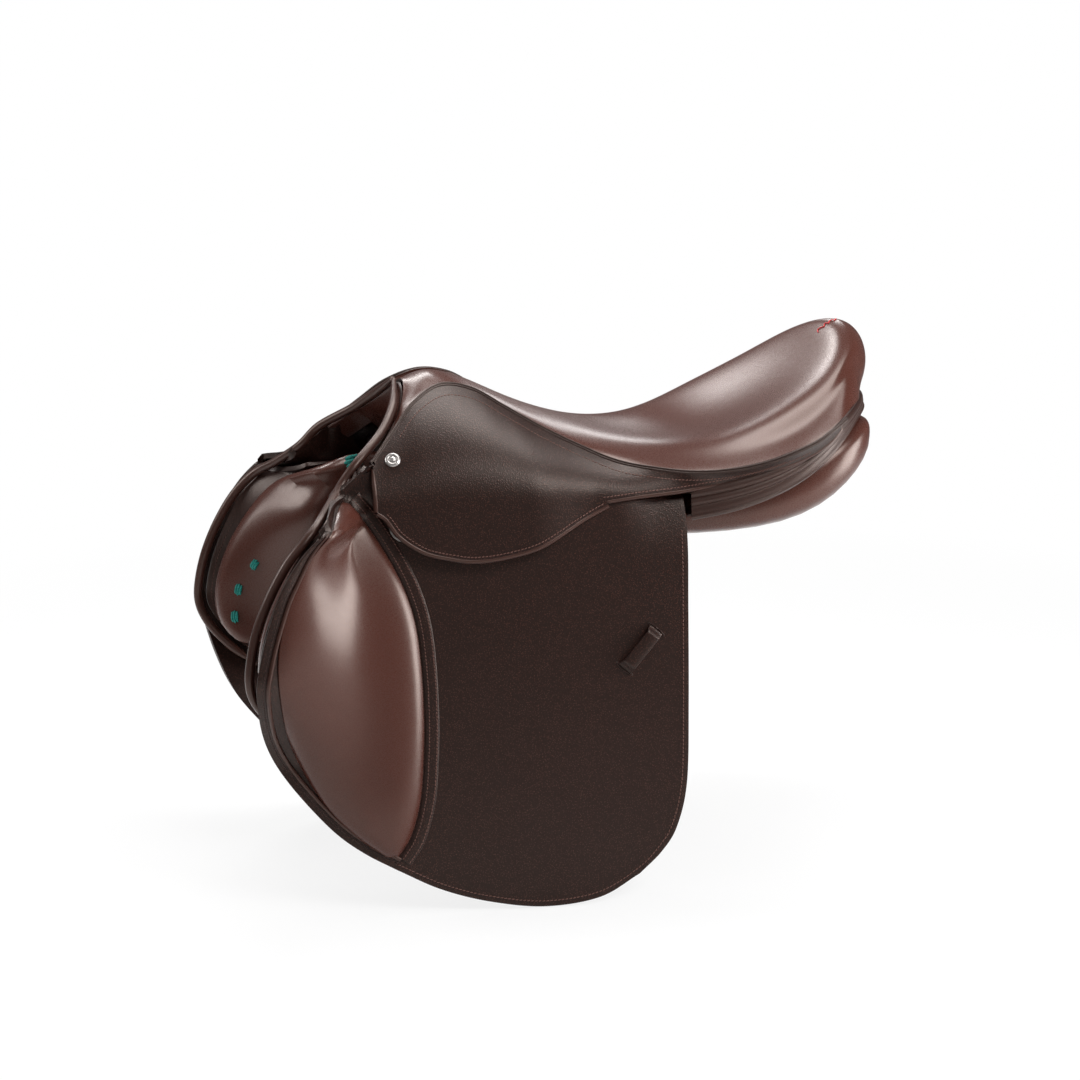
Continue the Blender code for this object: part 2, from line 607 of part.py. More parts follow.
def build_flap(side, word, looks):
    """The lifting flap, its fixed top, the knee pad and the keeper loop."""
    origin = hinge_origin(side)
    low = FOLD_Z - FOLD_GAP / 2
    top = ((FLAP_FRONT[0][0], low), (-100, low), (FLAP_REAR[0][0], low))
    front = ((FLAP_FRONT[0][0], low), *FLAP_FRONT[1:])
    rear = ((FLAP_REAR[0][0], low), *FLAP_REAR[1:])
    grid = patch(top, FLAP_BOTTOM, front, rear, FLARE_COLUMNS, shares(17, ROW_POWER))
    add_sheet(f"flap_{word}", lifted(grid, side, 0.0), FLAP_LEATHER, looks["grain"], side_out(side), origin)
    build_flap_top(side, word, looks)
    pad = patch((KNEE_PAD_FRONT[0], KNEE_PAD_REAR[0]), (KNEE_PAD_FRONT[-1], KNEE_PAD_REAR[-1]),
                KNEE_PAD_FRONT, KNEE_PAD_REAR, shares(10), shares(17, ROW_POWER))
    outer, inner = [], []
    for i, line in enumerate(pad):
        v = 2 * i / (len(pad) - 1) - 1
        rise = [(1 - abs(2 * j / (len(line) - 1) - 1) ** 3) * (1 - abs(v) ** 5) for j in range(len(line))]
        outer.append([layer(p.x, p.y, side, PAD_ROOM + PAD_EDGE + KNEE_PAD_RISE * r)
                      for p, r in zip(line, rise)])
        inner.append([layer(p.x, p.y, side, PAD_ROOM) for p in line])
    add_slab(f"knee_pad_{word}", outer, inner, looks["calf"], origin)
    build_keeper(side, word, looks, origin)


def build_flap_top(side, word, looks):
    """The part of the flap above the fold, which stays with the tree."""
    low = FOLD_Z + FOLD_GAP / 2
    columns = []
    for x, high in FLAP_HEAD:
        column = []
        for k in range(3):
            z = low + (high - low) * k / 2
            flat = layer(x, z, side, 0.0)
            under = skirt_top_point(x, z, side, SKIRT_LEATHER + HEAD_ROOM)
            if x > FLAP_HEAD[2][0]:
                flat.y = side * min(abs(flat.y), abs(under.y))
            column.append(flat)
        columns.append(column)
    add_sheet(f"flap_top_{word}", columns, FLAP_LEATHER, looks["grain"], side_out(side))


def plane_frame(x, z, side, offset, turn=0.0):
    """A frame on the flat middle of the flap: Y runs up it and Z outwards."""
    here = layer(x, z, side, offset)
    along = layer(x + 10, z, side, offset) - here
    up = (layer(x, z + 10, side, offset) - here).normalized()
    out = along.cross(up).normalized() * -side
    if out.y * side < 0:
        out.negate()
    along = up.cross(out)
    base = Matrix((along, up, out)).transposed().to_4x4()
    return Matrix.Translation(here) @ base @ Matrix.Rotation(turn, 4, "Z")


def build_keeper(side, word, looks, origin):
    """A leather loop whose ends lie on the flap and whose middle stands off it."""
    frame = plane_frame(KEEPER_X, KEEPER_Z, side, 0.0, -side * math.radians(KEEPER_TURN))
    upper, under = [], []
    for i in range(11):
        t = 2 * i / 10 - 1
        rise = KEEPER_RISE * smooth((1 - abs(t)) * 3.2)
        along = t * KEEPER_LENGTH / 2
        for grid, height in ((upper, KEEPER_LEATHER), (under, 0.0)):
            grid.append([frame @ (Vector((along, w * KEEPER_WIDTH / 2, TOUCH + rise + height)) * MM)
                         for w in (-1, 0, 1)])
    add_slab(f"flap_keeper_{word}", upper, under, looks["grain"], origin)


def build_skirt(side, word, looks):
    """The skirt: a lifting lobe over the stirrup bar and a fixed part up to the welt."""
    origin = hinge_origin(side)
    low = FOLD_Z - FOLD_GAP / 2
    lobe = spline([(x, min(z, low)) for x, z in SKIRT_LOBE], shares(15))
    grid = []
    for p in lobe:
        column = []
        for k in range(5):
            z = low + (min(p.y, low - 0.8) - low) * k / 4
            column.append(layer(p.x, z, side, skirt_offset(p.x)))
        grid.append(column)
    add_sheet(f"skirt_{word}", grid, SKIRT_LEATHER, looks["grain"], side_out(side), origin)
    fixed = []
    edge = [p.x / (SCALE_X * MM) for p in skirt_line()]
    inner = [x for x in edge if SKIRT_ENDS[1] < x < SKIRT_ENDS[-1] - 5]
    for x in sorted([*SKIRT_ENDS, *inner]):
        high = skirt_edge(x)[0] / MM
        foot = FOLD_Z + FOLD_GAP / 2 if x < -22 else lerp([(p[0], p[1]) for p in STRIP_LOWER], x)
        fixed.append([skirt_top_point(x, foot + (high - foot) * (k / 5), side, 0.0) for k in range(6)])
    add_sheet(f"skirt_top_{word}", fixed, SKIRT_LEATHER, looks["grain"], side_out(side))


def build_trim(side, word, looks):
    """Welt, saddle nail and the roll down the front edge."""
    welt = [Vector((p.x, side * p.y, p.z)) for p, down in welt_line()]
    add_tube(f"seat_welt_{word}", welt, WELT_DIAMETER, looks["edge"])
    here = skirt_top_point(NAIL_X, NAIL_Z, side, 0.0)
    ahead = skirt_top_point(NAIL_X + 4, NAIL_Z, side, 0.0) - here
    above = skirt_top_point(NAIL_X, NAIL_Z + 4, side, 0.0) - here
    out = ahead.cross(above).normalized()
    if out.y * side < 0:
        out.negate()
    dome = bpy.data.meshes.new(f"saddle_nail_{word}")
    bm = bmesh.new()
    radius = NAIL_DIAMETER / 2 * MM
    bmesh.ops.create_uvsphere(bm, u_segments=18, v_segments=12, radius=radius)
    whole = [*bm.verts, *bm.edges, *bm.faces]
    bmesh.ops.bisect_plane(bm, geom=whole, plane_co=(0, 0, 0), plane_no=(0, 0, 1), clear_inner=True)
    bmesh.ops.holes_fill(bm, edges=bm.edges, sides=0)
    bmesh.ops.scale(bm, vec=(1, 1, NAIL_DOME), verts=bm.verts)
    bmesh.ops.recalc_face_normals(bm, faces=bm.faces)
    bm.to_mesh(dome)
    bm.free()
    turn = out.to_track_quat("Z", "Y").to_matrix().to_4x4()
    place = Matrix.Translation(here + out * TOUCH * MM)
    add_object(f"saddle_nail_{word}", dome, looks["nickel"], place @ turn)
    knots = [Vector((p.x, side * p.y, p.z)) for p in (fit(*knot) for knot in ROLL_HEAD)]
    reach = ROLL_DIAMETER / 2 + ROLL_GAP
    for x, z in SWEAT_FRONT[1:]:
        knots.append(layer(x, z, side, -SWEAT_DEPTH - SWEAT_LEATHER / 2, ROOF_DROP))
    line = spline(knots, shares(42))
    shifted = []
    for k, p in enumerate(line):
        before, after = line[max(0, k - 1)], line[min(len(line) - 1, k + 1)]
        along = (after - before).normalized()
        ahead = along.cross(side_out(side)) * side
        blend = smooth((k - 6) / 8)
        shifted.append(p + ahead.normalized() * reach * MM * blend * (-1 if ahead.x > 0 else 1))
    add_tube(f"front_roll_{word}", shifted, ROLL_DIAMETER, looks["edge"])


def build_sweat_flap(side, word, looks):
    """The under flap, with the knee block between it and the flap."""
    grid = patch((SWEAT_FRONT[0], (-100, 46), SWEAT_REAR[0]), SWEAT_BOTTOM, SWEAT_FRONT, SWEAT_REAR,
                 FLARE_COLUMNS, shares(15, ROW_POWER))
    under = lifted(grid, side, -SWEAT_DEPTH, ROOF_DROP)
    add_sheet(f"sweat_flap_{word}", under, SWEAT_LEATHER, looks["calf"], side_out(side))
    outer, inner = [], []
    rows = 9
    for i in range(rows):
        z = BLOCK_TOP + (BLOCK_BOTTOM - BLOCK_TOP) * i / (rows - 1)
        front = lerp([(p[1], p[0]) for p in SWEAT_FRONT] + [(-200, -230)], z) + BLOCK_SETBACK
        width = BLOCK_WIDTH * math.sin(math.pi * (i + 0.8) / (rows + 0.6)) ** 0.5
        line_out, line_in = [], []
        for j in range(5):
            x = front + width * j / 4
            line_out.append(layer(x, z, side, -FLAP_LEATHER - BLOCK_ROOM))
            line_in.append(layer(x, z, side, -SWEAT_DEPTH + BLOCK_ROOM, ROOF_DROP))
        outer.append(line_out)
        inner.append(line_in)
    add_slab(f"knee_block_{word}", outer, inner, looks["calf"])


# Panels

def panel_section(station, turn, side):
    """A point of the panel's body under the seat; it gives way above and outwards to layers that grow."""
    x, y, z, wide, deep = station
    z, deep = z - STACK_GROWTH / 2, deep - STACK_GROWTH / 2
    y, wide = y - UNDER_GROWTH / 2, wide - UNDER_GROWTH / 2
    c, s = math.cos(turn), math.sin(turn)
    round_y = math.copysign(abs(c) ** 0.75, c)
    round_z = math.copysign(abs(s) ** 0.75, s)
    p = fit(x, y, z)
    return Vector((p.x, side * (p.y + wide * round_y * MM * SCALE_Y), p.z + deep * round_z * MM))


def leg_section(station, turn, side):
    """A point of the panel's leg, which lies against the sweat flap."""
    x, z, rear_x, rear_z = station
    c, s = math.cos(turn), math.sin(turn)
    half = PANEL_LEG_THICKNESS / 2
    inset = SWEAT_DEPTH + SWEAT_LEATHER + LEG_ROOM + half
    thick = half * math.copysign(abs(s) ** 0.7, s)
    return layer(x + rear_x * c, z + rear_z * c, side, thick - inset, ROOF_DROP)


def panel_rings(side):
    """Rings of points from the panel's rear end to the foot of its leg."""
    turns = [2 * math.pi * k / PANEL_COLUMNS for k in range(PANEL_COLUMNS)]
    rings = [[panel_section(s, t, side) for t in turns] for s in PANEL_BODY]
    last = PANEL_BODY[-1]
    for k, station in enumerate(spline(PANEL_LEG, shares(LEG_RINGS))):
        weight = lerp(LEG_BLEND, k / (LEG_RINGS - 1))
        moved = (station[0], last[1] + LEG_OUT - UNDER_GROWTH, station[1] + LEG_UP, last[3], last[4])
        rings.append([panel_section(moved, t, side).lerp(leg_section(station, t, side), weight)
                      for t in turns])
    return rings


def build_panel(side, word, looks):
    """One stuffed panel: a body under the seat that turns into a leg along the sweat flap."""
    rings = panel_rings(side)
    bm = bmesh.new()
    loops = [[bm.verts.new(p) for p in ring] for ring in rings]
    for a, b in zip(loops, loops[1:]):
        for k in range(PANEL_COLUMNS):
            n = (k + 1) % PANEL_COLUMNS
            bm.faces.new((a[k], a[n], b[n], b[k]))
    for ring in (loops[0], loops[-1]):
        centre = bm.verts.new(sum((v.co for v in ring), Vector()) / PANEL_COLUMNS)
        for k in range(PANEL_COLUMNS):
            bm.faces.new((ring[k], ring[(k + 1) % PANEL_COLUMNS], centre))
    finish_mesh(f"panel_{word}", bm, looks["calf"])


def build_laces(side, word, looks):
    """Short coloured laces that lie on the inner face of the panel's leg."""
    rings = panel_rings(side)
    for number, (along, column, long, high) in enumerate(LACES, 1):
        i, j = len(PANEL_BODY) + int(along), int(column)
        u, v = along - int(along), column - j
        a, b, c, d = rings[i][j], rings[i][j + 1], rings[i + 1][j], rings[i + 1][j + 1]
        here = a.lerp(b, v).lerp(c.lerp(d, v), u)
        down = (c.lerp(d, v) - a.lerp(b, v)).normalized()
        out = (b - a).cross(down).normalized()
        if out.y * side > 0:
            out.negate()
        turn = Matrix((down, out.cross(down), out)).transposed().to_4x4()
        bm = bmesh.new()
        bmesh.ops.create_uvsphere(bm, u_segments=10, v_segments=6, radius=1.0)
        bmesh.ops.scale(bm, vec=Vector((long, high, LACE_DEPTH)) * MM, verts=bm.verts)
        place = Matrix.Translation(here + out * (LACE_DEPTH + TOUCH) * MM)
        bmesh.ops.transform(bm, matrix=place @ turn, verts=bm.verts)
        finish_mesh(f"panel_lace_{word}_{number}", bm, looks["lace"])


def build_facing(looks):
    """The band and its welt that close the seat's underside behind the skirts, round the cantle."""
    upper, lower = [], []
    for points, target in ((FACING_UPPER, upper), (FACING_LOWER, lower)):
        right = [fit(*p) for p in points]
        left = [Vector((p.x, -p.y, p.z)) for p in reversed(right[:-1])]
        target.extend(spline([*right, *left], shares(31)))
    middle = [a.lerp(b, 0.5) for a, b in zip(upper, lower)]
    add_sheet("cantle_facing", [upper, middle, lower], LINING_LEATHER, looks["calf"], Vector((0, 0, -1)))


# Steel and straps

def bar_frame(side):
    """A frame at the middle of the stirrup bar's base plate: X along the saddle, Y outwards, Z up."""
    here = layer(BAR_X, BAR_Z, side, -SWEAT_DEPTH - SWEAT_LEATHER + 0.7)
    along = (layer(BAR_X + 40, BAR_Z, side, 0) - layer(BAR_X - 40, BAR_Z, side, 0)).normalized()
    out = Vector((-along.y, along.x, 0)) * side
    return Matrix.Translation(here) @ Matrix((along, out, UP)).transposed().to_4x4()


def build_bar(side, word, looks):
    """The forged stirrup bar: a base plate, a front arm and the open bar with its catch."""
    frame = bar_frame(side)
    half = BAR_LENGTH / 2
    inner = BAR_PLATE_THICKNESS + BAR_REACH
    outer = inner + BAR_THICKNESS
    tall = BAR_HEIGHT / 2
    foot, arm = half - BAR_OVERHANG, -half + BAR_ARM
    profile = [(-half, 0), (foot, 0), (foot, BAR_PLATE_THICKNESS), (arm, BAR_PLATE_THICKNESS), (arm, inner),
               (half, inner), (half, outer), (-half + BAR_BEVEL, outer), (-half, outer - BAR_BEVEL)]
    if side > 0:
        outline = profile
    else:
        outline = [(x, -y) for x, y in reversed(profile)]
    matrix = Matrix.Translation(frame.translation) @ Matrix.Rotation(
        math.atan2(frame.col[0].y, frame.col[0].x), 4, "Z")
    add_plate(f"stirrup_bar_{word}", [outline], 2 * tall, looks["steel"], matrix)
    pivot_x = half + TOUCH + CATCH_RADIUS
    middle = (inner + outer) / 2
    catch = bmesh.new()
    back = CATCH_LENGTH - CATCH_RADIUS
    shape = [*arc(0, 0, CATCH_RADIUS, 90, 270, 9), *arc(back, 0, CATCH_RADIUS, 290, 430, 4)]
    thin = (BAR_THICKNESS - 1.0) / 2
    rows = [[catch.verts.new(Vector((x, y, z)) * MM) for x, z in shape] for y in (-thin, thin)]
    catch.faces.new(rows[0])
    catch.faces.new(rows[1])
    for k in range(len(shape)):
        n = (k + 1) % len(shape)
        catch.faces.new((rows[0][k], rows[0][n], rows[1][n], rows[1][k]))
    turn = Matrix.Rotation(math.atan2(frame.col[0].y, frame.col[0].x), 4, "Z")
    bmesh.ops.transform(catch, matrix=turn, verts=catch.verts)
    piece = finish_mesh(f"bar_catch_{word}", catch, looks["steel"])
    piece.location = frame @ (Vector((pivot_x, middle, 0)) * MM)


def tree_point_face(x, z):
    """Half width to the outer face of the tree's point, which tucks in under the fixed skirt."""
    flat = abs(layer(x, z, RIGHT, -SWEAT_DEPTH - SWEAT_LEATHER - TOUCH - 0.3).y)
    roof = abs(skirt_top_point(x, max(z, FOLD_Z), RIGHT, 0.0).y) - POINT_TUCK * MM
    return min(flat, roof)


def build_tree_point(side, word, looks):
    """The side plate of the tree that carries the stirrup bar and reaches down behind the flap."""
    under = sunk(seat_grid(), below_foam(UNDER_TREE))
    edge = part_of(under, POINT_FIRST, POINT_LAST, COLUMNS - 2, COLUMNS - 2)
    shoulder = spline([line[0] for line in edge], shares(8))[:7]
    grid = []
    for k, head in enumerate(shoulder):
        x = POINT_FRONT + POINT_WIDTH * k / (len(shoulder) - 1)
        column = [Vector((head.x, side * head.y, head.z))]
        for z in POINT_HEIGHTS:
            column.append(Vector((x * SCALE_X * MM, side * tree_point_face(x, z), fit_side(0, 0, z).z)))
        grid.append(column)
    add_sheet(f"tree_point_{word}", grid, TREE_THICKNESS - 1.5, looks["tree"], side_out(side))


def build_girth(side, word, looks):
    """Two girth straps that hang between the flap and the sweat flap, and the web that holds them."""
    half = STRAP_WIDTH / 2
    for number, place in ((1, "front"), (2, "rear")):
        x = STRAP_X + STRAP_SPACING * (number - 1)
        offset = -FLAP_LEATHER - STRAP_ROOM - STRAP_THICKNESS / 2
        frame = plane_frame(x, STRAP_PIVOT_Z, side, offset)
        body = STRAP_LENGTH - half
        outline = [*arc(0, 0, half, 0, 180, 13), (-half, -body + STRAP_TAPER), (-half * 0.45, -body + 3),
                   (0, -body), (half * 0.45, -body + 3), (half, -body + STRAP_TAPER)]
        add_plate(f"girth_strap_{word}_{place}", [outline], STRAP_THICKNESS, looks["strap"], frame)
    low = fit_side(0, 0, STRAP_PIVOT_Z).z / MM + half + 2 * TOUCH
    edge = part_of(sunk(seat_grid(), below_foam(UNDER_TREE + WEB_THICKNESS + 1.0)), GIRTH_FIRST, GIRTH_LAST,
                   COLUMNS - 2, COLUMNS - 2)
    rows = [[Vector((p.x, side * p.y, p.z)) for p in spline([line[0] for line in edge], shares(6))]]
    for z, tuck in ((low + 11, 16.0), (low + 6, 3.0), (low, 0.0)):  # over the under flap's top edge
        rows.append([layer(STRAP_X - half + (STRAP_SPACING + STRAP_WIDTH) * k / 5, z, side,
                           -FLAP_LEATHER - STRAP_ROOM - GIRTH_WEB_THICKNESS / 2 - tuck) for k in range(6)])
    add_sheet(f"girth_web_{word}", rows, GIRTH_WEB_THICKNESS, looks["webbing"], side_out(side))


def build_dee(side, word, looks):
    """A dee ring on the flap under the skirt's front edge, and the leather chape that holds it."""
    frame = plane_frame(DEE_X, DEE_Z, side, DEE_WIRE / 2 + DEE_LIFT)
    half = DEE_WIDTH / 2
    shape = [(-half, 0.0), (0.0, 0.0), (half, 0.0),
             *[(half * math.cos(a), -DEE_DROP * 0.35 - (DEE_DROP * 0.65) * math.sin(a))
               for a in (math.pi * k / 8 for k in range(9))]]
    points = [frame @ (Vector((x, y, 0)) * MM) for x, y in shape]
    add_tube(f"dee_{word}", points, DEE_WIRE, looks["nickel"], cyclic=True, origin=frame.translation.copy())
    bore = DEE_WIRE / 2 + CHAPE_BORE
    wall = bore + CHAPE_LEATHER
    height = FOLD_Z - FOLD_GAP / 2 - DEE_Z - 0.6
    depth = CHAPE_WIDTH / 2
    bm = bmesh.new()
    back, front = -wall + 0.25, -wall + 2.1
    tab = [(back, height), (back, 0.0), *arc(0, 0, wall, 180, 380, 9), *arc(0, 0, bore, 20, -180, 9),
           (front, 1.2), (front, height)]
    rows = [[bm.verts.new(frame @ (Vector((x, z, y)) * MM)) for y, z in tab] for x in (-depth, depth)]
    bm.faces.new(rows[0])
    bm.faces.new(rows[1])
    for k in range(len(tab)):
        n = (k + 1) % len(tab)
        bm.faces.new((rows[0][k], rows[0][n], rows[1][n], rows[1][k]))
    finish_mesh(f"dee_chape_{word}", bm, looks["grain"], hinge_origin(side))


def build_looks():
    """The saddle's materials."""
    return {
        "calf": material("calf", (0.11, 0.043, 0.032), 0.35),
        "grain": material("grain", (0.075, 0.036, 0.029), 0.5),
        "edge": material("edge", (0.05, 0.022, 0.018), 0.4),
        "strap": material("strap", (0.09, 0.042, 0.033), 0.5),
        "foam": material("foam", (0.75, 0.7, 0.55), 0.9),
        "tree": material("tree", (0.45, 0.3, 0.17), 0.6),
        "webbing": material("webbing", (0.72, 0.66, 0.5), 0.9),
        "steel": material("steel", (0.55, 0.55, 0.56), 0.3, 1.0),
        "nickel": material("nickel", (0.78, 0.75, 0.73), 0.25, 1.0),
        "lace": material("lace", (0.0, 0.24, 0.2), 0.6),
    }


def main():
    for old in list(bpy.data.objects):
        bpy.data.objects.remove(old)
    collection = bpy.data.collections.new("saddle")
    bpy.context.scene.collection.children.link(collection)
    looks = build_looks()
    build_seat(looks)
    build_head(looks)
    build_facing(looks)
    for side, word in SIDES:
        build_flap(side, word, looks)
        build_skirt(side, word, looks)
        build_trim(side, word, looks)
        build_sweat_flap(side, word, looks)
        build_panel(side, word, looks)
        build_laces(side, word, looks)
        build_tree_point(side, word, looks)
        build_bar(side, word, looks)
        build_girth(side, word, looks)
        build_dee(side, word, looks)


main()
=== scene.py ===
"""Looks of the saddle: leather, padding, stitching and fittings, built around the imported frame.

Outlines and offsets are in millimetres in the frame's own axes: -X ahead, +Z up, y = 0 in the middle.
Every mesh is scaled to metres as it is made.
"""
import math

import bmesh
import bpy
import numpy as np
from mathutils import Matrix, Vector


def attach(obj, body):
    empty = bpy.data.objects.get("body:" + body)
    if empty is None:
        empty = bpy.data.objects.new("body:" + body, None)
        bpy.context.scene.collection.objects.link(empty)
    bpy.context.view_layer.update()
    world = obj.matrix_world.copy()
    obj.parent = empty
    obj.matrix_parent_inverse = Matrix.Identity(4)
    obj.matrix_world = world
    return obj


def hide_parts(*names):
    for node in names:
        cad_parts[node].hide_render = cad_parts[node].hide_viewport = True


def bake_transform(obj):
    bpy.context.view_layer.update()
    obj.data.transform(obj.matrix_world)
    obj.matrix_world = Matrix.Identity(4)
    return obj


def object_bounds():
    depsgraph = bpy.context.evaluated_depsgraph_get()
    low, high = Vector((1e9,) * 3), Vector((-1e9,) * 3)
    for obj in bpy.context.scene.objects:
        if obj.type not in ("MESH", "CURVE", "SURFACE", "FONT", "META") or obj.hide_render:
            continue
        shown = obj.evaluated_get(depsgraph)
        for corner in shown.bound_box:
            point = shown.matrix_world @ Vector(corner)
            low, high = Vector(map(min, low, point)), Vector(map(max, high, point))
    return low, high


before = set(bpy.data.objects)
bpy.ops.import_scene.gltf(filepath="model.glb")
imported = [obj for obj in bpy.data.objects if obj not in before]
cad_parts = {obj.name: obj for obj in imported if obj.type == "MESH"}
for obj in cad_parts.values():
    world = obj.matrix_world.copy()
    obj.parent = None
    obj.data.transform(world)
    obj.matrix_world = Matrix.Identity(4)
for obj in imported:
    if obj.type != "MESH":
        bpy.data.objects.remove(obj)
CAD_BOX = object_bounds()

MM = 0.001
LEFT, RIGHT = -1, 1
SIDES = ((LEFT, "left"), (RIGHT, "right"))

# Thicknesses and offsets
FLAP_LEATHER = 5.0
SKIRT_LEATHER = 4.0
SWEAT_LEATHER = 4.0
SEAT_LEATHER = 2.5
SEAT_FOAM = 17.0
WEB, TREE, HEAD_PLATE, LINING = 1.5, 8.0, 3.0, 2.0  # layers under the foam at the head
HOLLOW = 3.2  # of the seat's flank under the cantle's crest
HOLLOW_PLACE, HOLLOW_WIDTH = 0.66, 0.17  # as shares of the seat's half width
EASING = 120  # rounds of smoothing between a surface's edges
PAD_RISE = 13.0  # knee pad's crown above the flap
STRAP_THICKNESS = 4.0
STRAP_WIDTH = 25.0
STRAP_CLEAR = 2.6  # flap's inner face to the strap
WELT_DIAMETER = 4.6
WELT_GAP = 1.2  # seat's edge to the welt
SEAT_TUCK = 1.7  # seat leather drawn down over the welt
TOUCH = 0.4  # between layers that lie on one another
BAR_ROOM = 9.5  # how far the skirt stands off the flap over the stirrup bar
ROOF_DROP = 4.5  # how much lower the layers under the flap start to flare
ROLL_REACH = 7.5  # under flap's edge to the middle of the roll
ROLL_RADIUS = 4.0
EDGE_DEPTH = 1.9  # skirt's outer face to the middle of its rolled edge
SKIRT_BOW = 2.6  # power of the skirt's curve up to the welt
SKIRT_OUT, SKIRT_DROP = 2.0, 1.1  # skirt's top edge, out and down from the welt's middle
SKIRT_FRONT = -216.0
TUCK_GAP, TUCK_RUN = 2.8, 12.0  # flap's head to the skirt over it, and the length it takes to tuck in
HEAD_LIFT = 3.0  # of the flap's head over the roll
REAR_BOW = 8.0  # the flap's top bends in by this much behind the straps
FOLD_Z = 40.0  # height of the line that flap and skirt lift about
FLAP_FOLD, STRIP_FOLD, LOBE_FOLD = (55, 38), (54, 40.5), (40, 28)  # heights between which leather bends, which nothing here reads
SWEAT_DEPTH = FLAP_LEATHER + STRAP_CLEAR + STRAP_THICKNESS + 4.4  # flap's outer face to the under flap's
PANEL_THICKNESS = 36.0  # of a panel's leg
LEG_ROOM = 3.9  # under flap to the panel's leg

# The flap's face: half width at the stirrup bar with its growth to the rear and downwards, then how
# far the front edge flares and the heights and reach over which the flare and the bar's room fade
HALF_WIDTH, SPLAY, SLOPE, BAR_X = 103.555, 0.115, 0.16, -139.0
FLARE, FLARE_TOP, FLARE_RISE = 63.0, 54.0, 22.0
FLARE_FADE, FLARE_RUN, FLARE_REACH = -78.0, 95.0, 50.0
BUMP_END, BUMP_RUN = -88.0, 62.0

# Seat: each station runs from the middle over the crest and the side to the welt
SEAT_STATIONS = (
    ((-170, 131), (-179, 36, 114), (-196, 62, 95), (-217, 87, 76)),
    ((-157, 137), (-165, 28, 128), (-178, 46, 113), (-194, 68, 99)),
    ((-149, 138.5), (-153, 22, 134), (-161, 36, 126.5), (-173, 51, 119)),
    ((-140, 138), (-141, 16, 137), (-143, 26, 136), (-147, 37, 132.5)),
    ((-118, 132), (-118, 18, 131), (-118, 30, 130), (-118, 38, 128)),
    ((-92, 118), (-92, 24, 117), (-92, 39, 116), (-92, 50, 113)),
    ((-65, 105), (-65, 30, 103), (-65, 49, 101), (-65, 63, 97)),
    ((-35, 94), (-35, 38, 92), (-35, 61, 87), (-35, 78, 82)),
    ((-5, 84), (-5, 45, 83), (-5, 72, 78), (-5, 94, 70)),
    ((25, 76), (25, 55, 78), (25, 84, 73), (25, 110, 65)),
    ((55, 72), (55, 66, 78), (55, 98, 70), (55, 124, 63)),
    ((85, 74), (85, 77, 83), (85, 110, 74), (85, 136, 66)),
    ((115, 83), (113, 87, 95), (112, 120, 82), (110, 144, 72)),
    ((145, 98), (139, 89, 107), (136, 124, 91), (133, 147, 80)),
    ((172, 116), (163, 87, 119), (158, 120, 101), (154, 146, 88)),
    ((195, 135), (183, 83, 129), (175, 113, 113), (170, 141, 97)),
    ((212, 154), (199, 76, 140), (190, 104, 123), (184, 132, 104)),
    ((225, 170), (213, 62, 151), (205, 88, 137), (198, 118, 109)),
    ((238, 170), (229, 50, 159), (221, 76, 143), (211, 101, 111)),
    ((249, 161), (239, 46, 151), (230, 68, 135), (219, 84, 112)),
    ((254, 146), (245, 42, 138), (235, 61, 126), (225, 68, 111)),
    ((252, 127), (243, 37, 122), (234, 52, 116), (229, 55, 110)),
    ((242, 109), (240, 22, 109), (236, 38, 110), (232, 49, 110)),
)
WELT_STATIONS = 17  # stations whose edge is sewn to the skirt

# Outlines of the side leather, as (x, z)
FLAP_FRONT = ((-243, 49), (-257, 43), (-272, 33), (-289, 16), (-305, -9), (-315, -35), (-323, -62),
              (-328, -87), (-326, -109), (-320, -135), (-311, -159), (-299, -180), (-280, -205),
              (-259, -228), (-237, -245), (-213, -259))
FLAP_BOTTOM = ((-213, -259), (-176, -278), (-135, -291), (-88, -298), (-41, -293), (-6, -275))
FLAP_REAR = ((46, 52.5), (47, 13), (45, -46), (42, -130), (38, -198), (28, -236), (14, -257), (-6, -275))
FLAP_HEAD = ((-243, 49), (-229, 64), (-214, 80), (-204, 78), (-194, 62), (-182, 50), (-130, 47), (-70, 47),
             (-40, 51), (0, 51), (46, 52.5))
SWEAT_FRONT = ((-240, 46), (-257, 35), (-273, 22), (-290, 4), (-305, -21), (-316, -47), (-322, -72),
               (-323, -90), (-318, -104), (-308, -117), (-295, -129), (-279, -140))
SWEAT_BOTTOM = ((-279, -140), (-230, -178), (-170, -208), (-100, -229), (-45, -233), (-10, -215))
SWEAT_REAR = ((32, 46), (30, 0), (26, -70), (20, -140), (8, -188), (-10, -215))
PAD_ROWS, PAD_COLUMNS = 64, 34
PAD_FLAT_TOP, PAD_FLAT_END = 17, 7  # rows at the knee pad's ends that don't swell
KNEE_PAD_REAR = ((-238, 47), (-223, 28), (-207, 1), (-194, -27), (-186, -57), (-183, -94), (-183, -136),
                 (-185, -169), (-189, -202), (-198, -231), (-210, -249))
KNEE_PAD_FRONT = ((-243, 48), (-256, 39.5), (-268.5, 29), (-284, 11), (-299, -16), (-308, -48), (-311, -73),
                  (-309, -99), (-300, -137), (-284, -176), (-265, -208), (-241, -233), (-219, -249))
SKIRT_LOBE = ((-216, 39), (-209, 34), (-198, 19), (-179, 6), (-158, 0), (-138, -3), (-113, -1), (-82, 6.5),
              (-47, 24), (-21, 36.5))

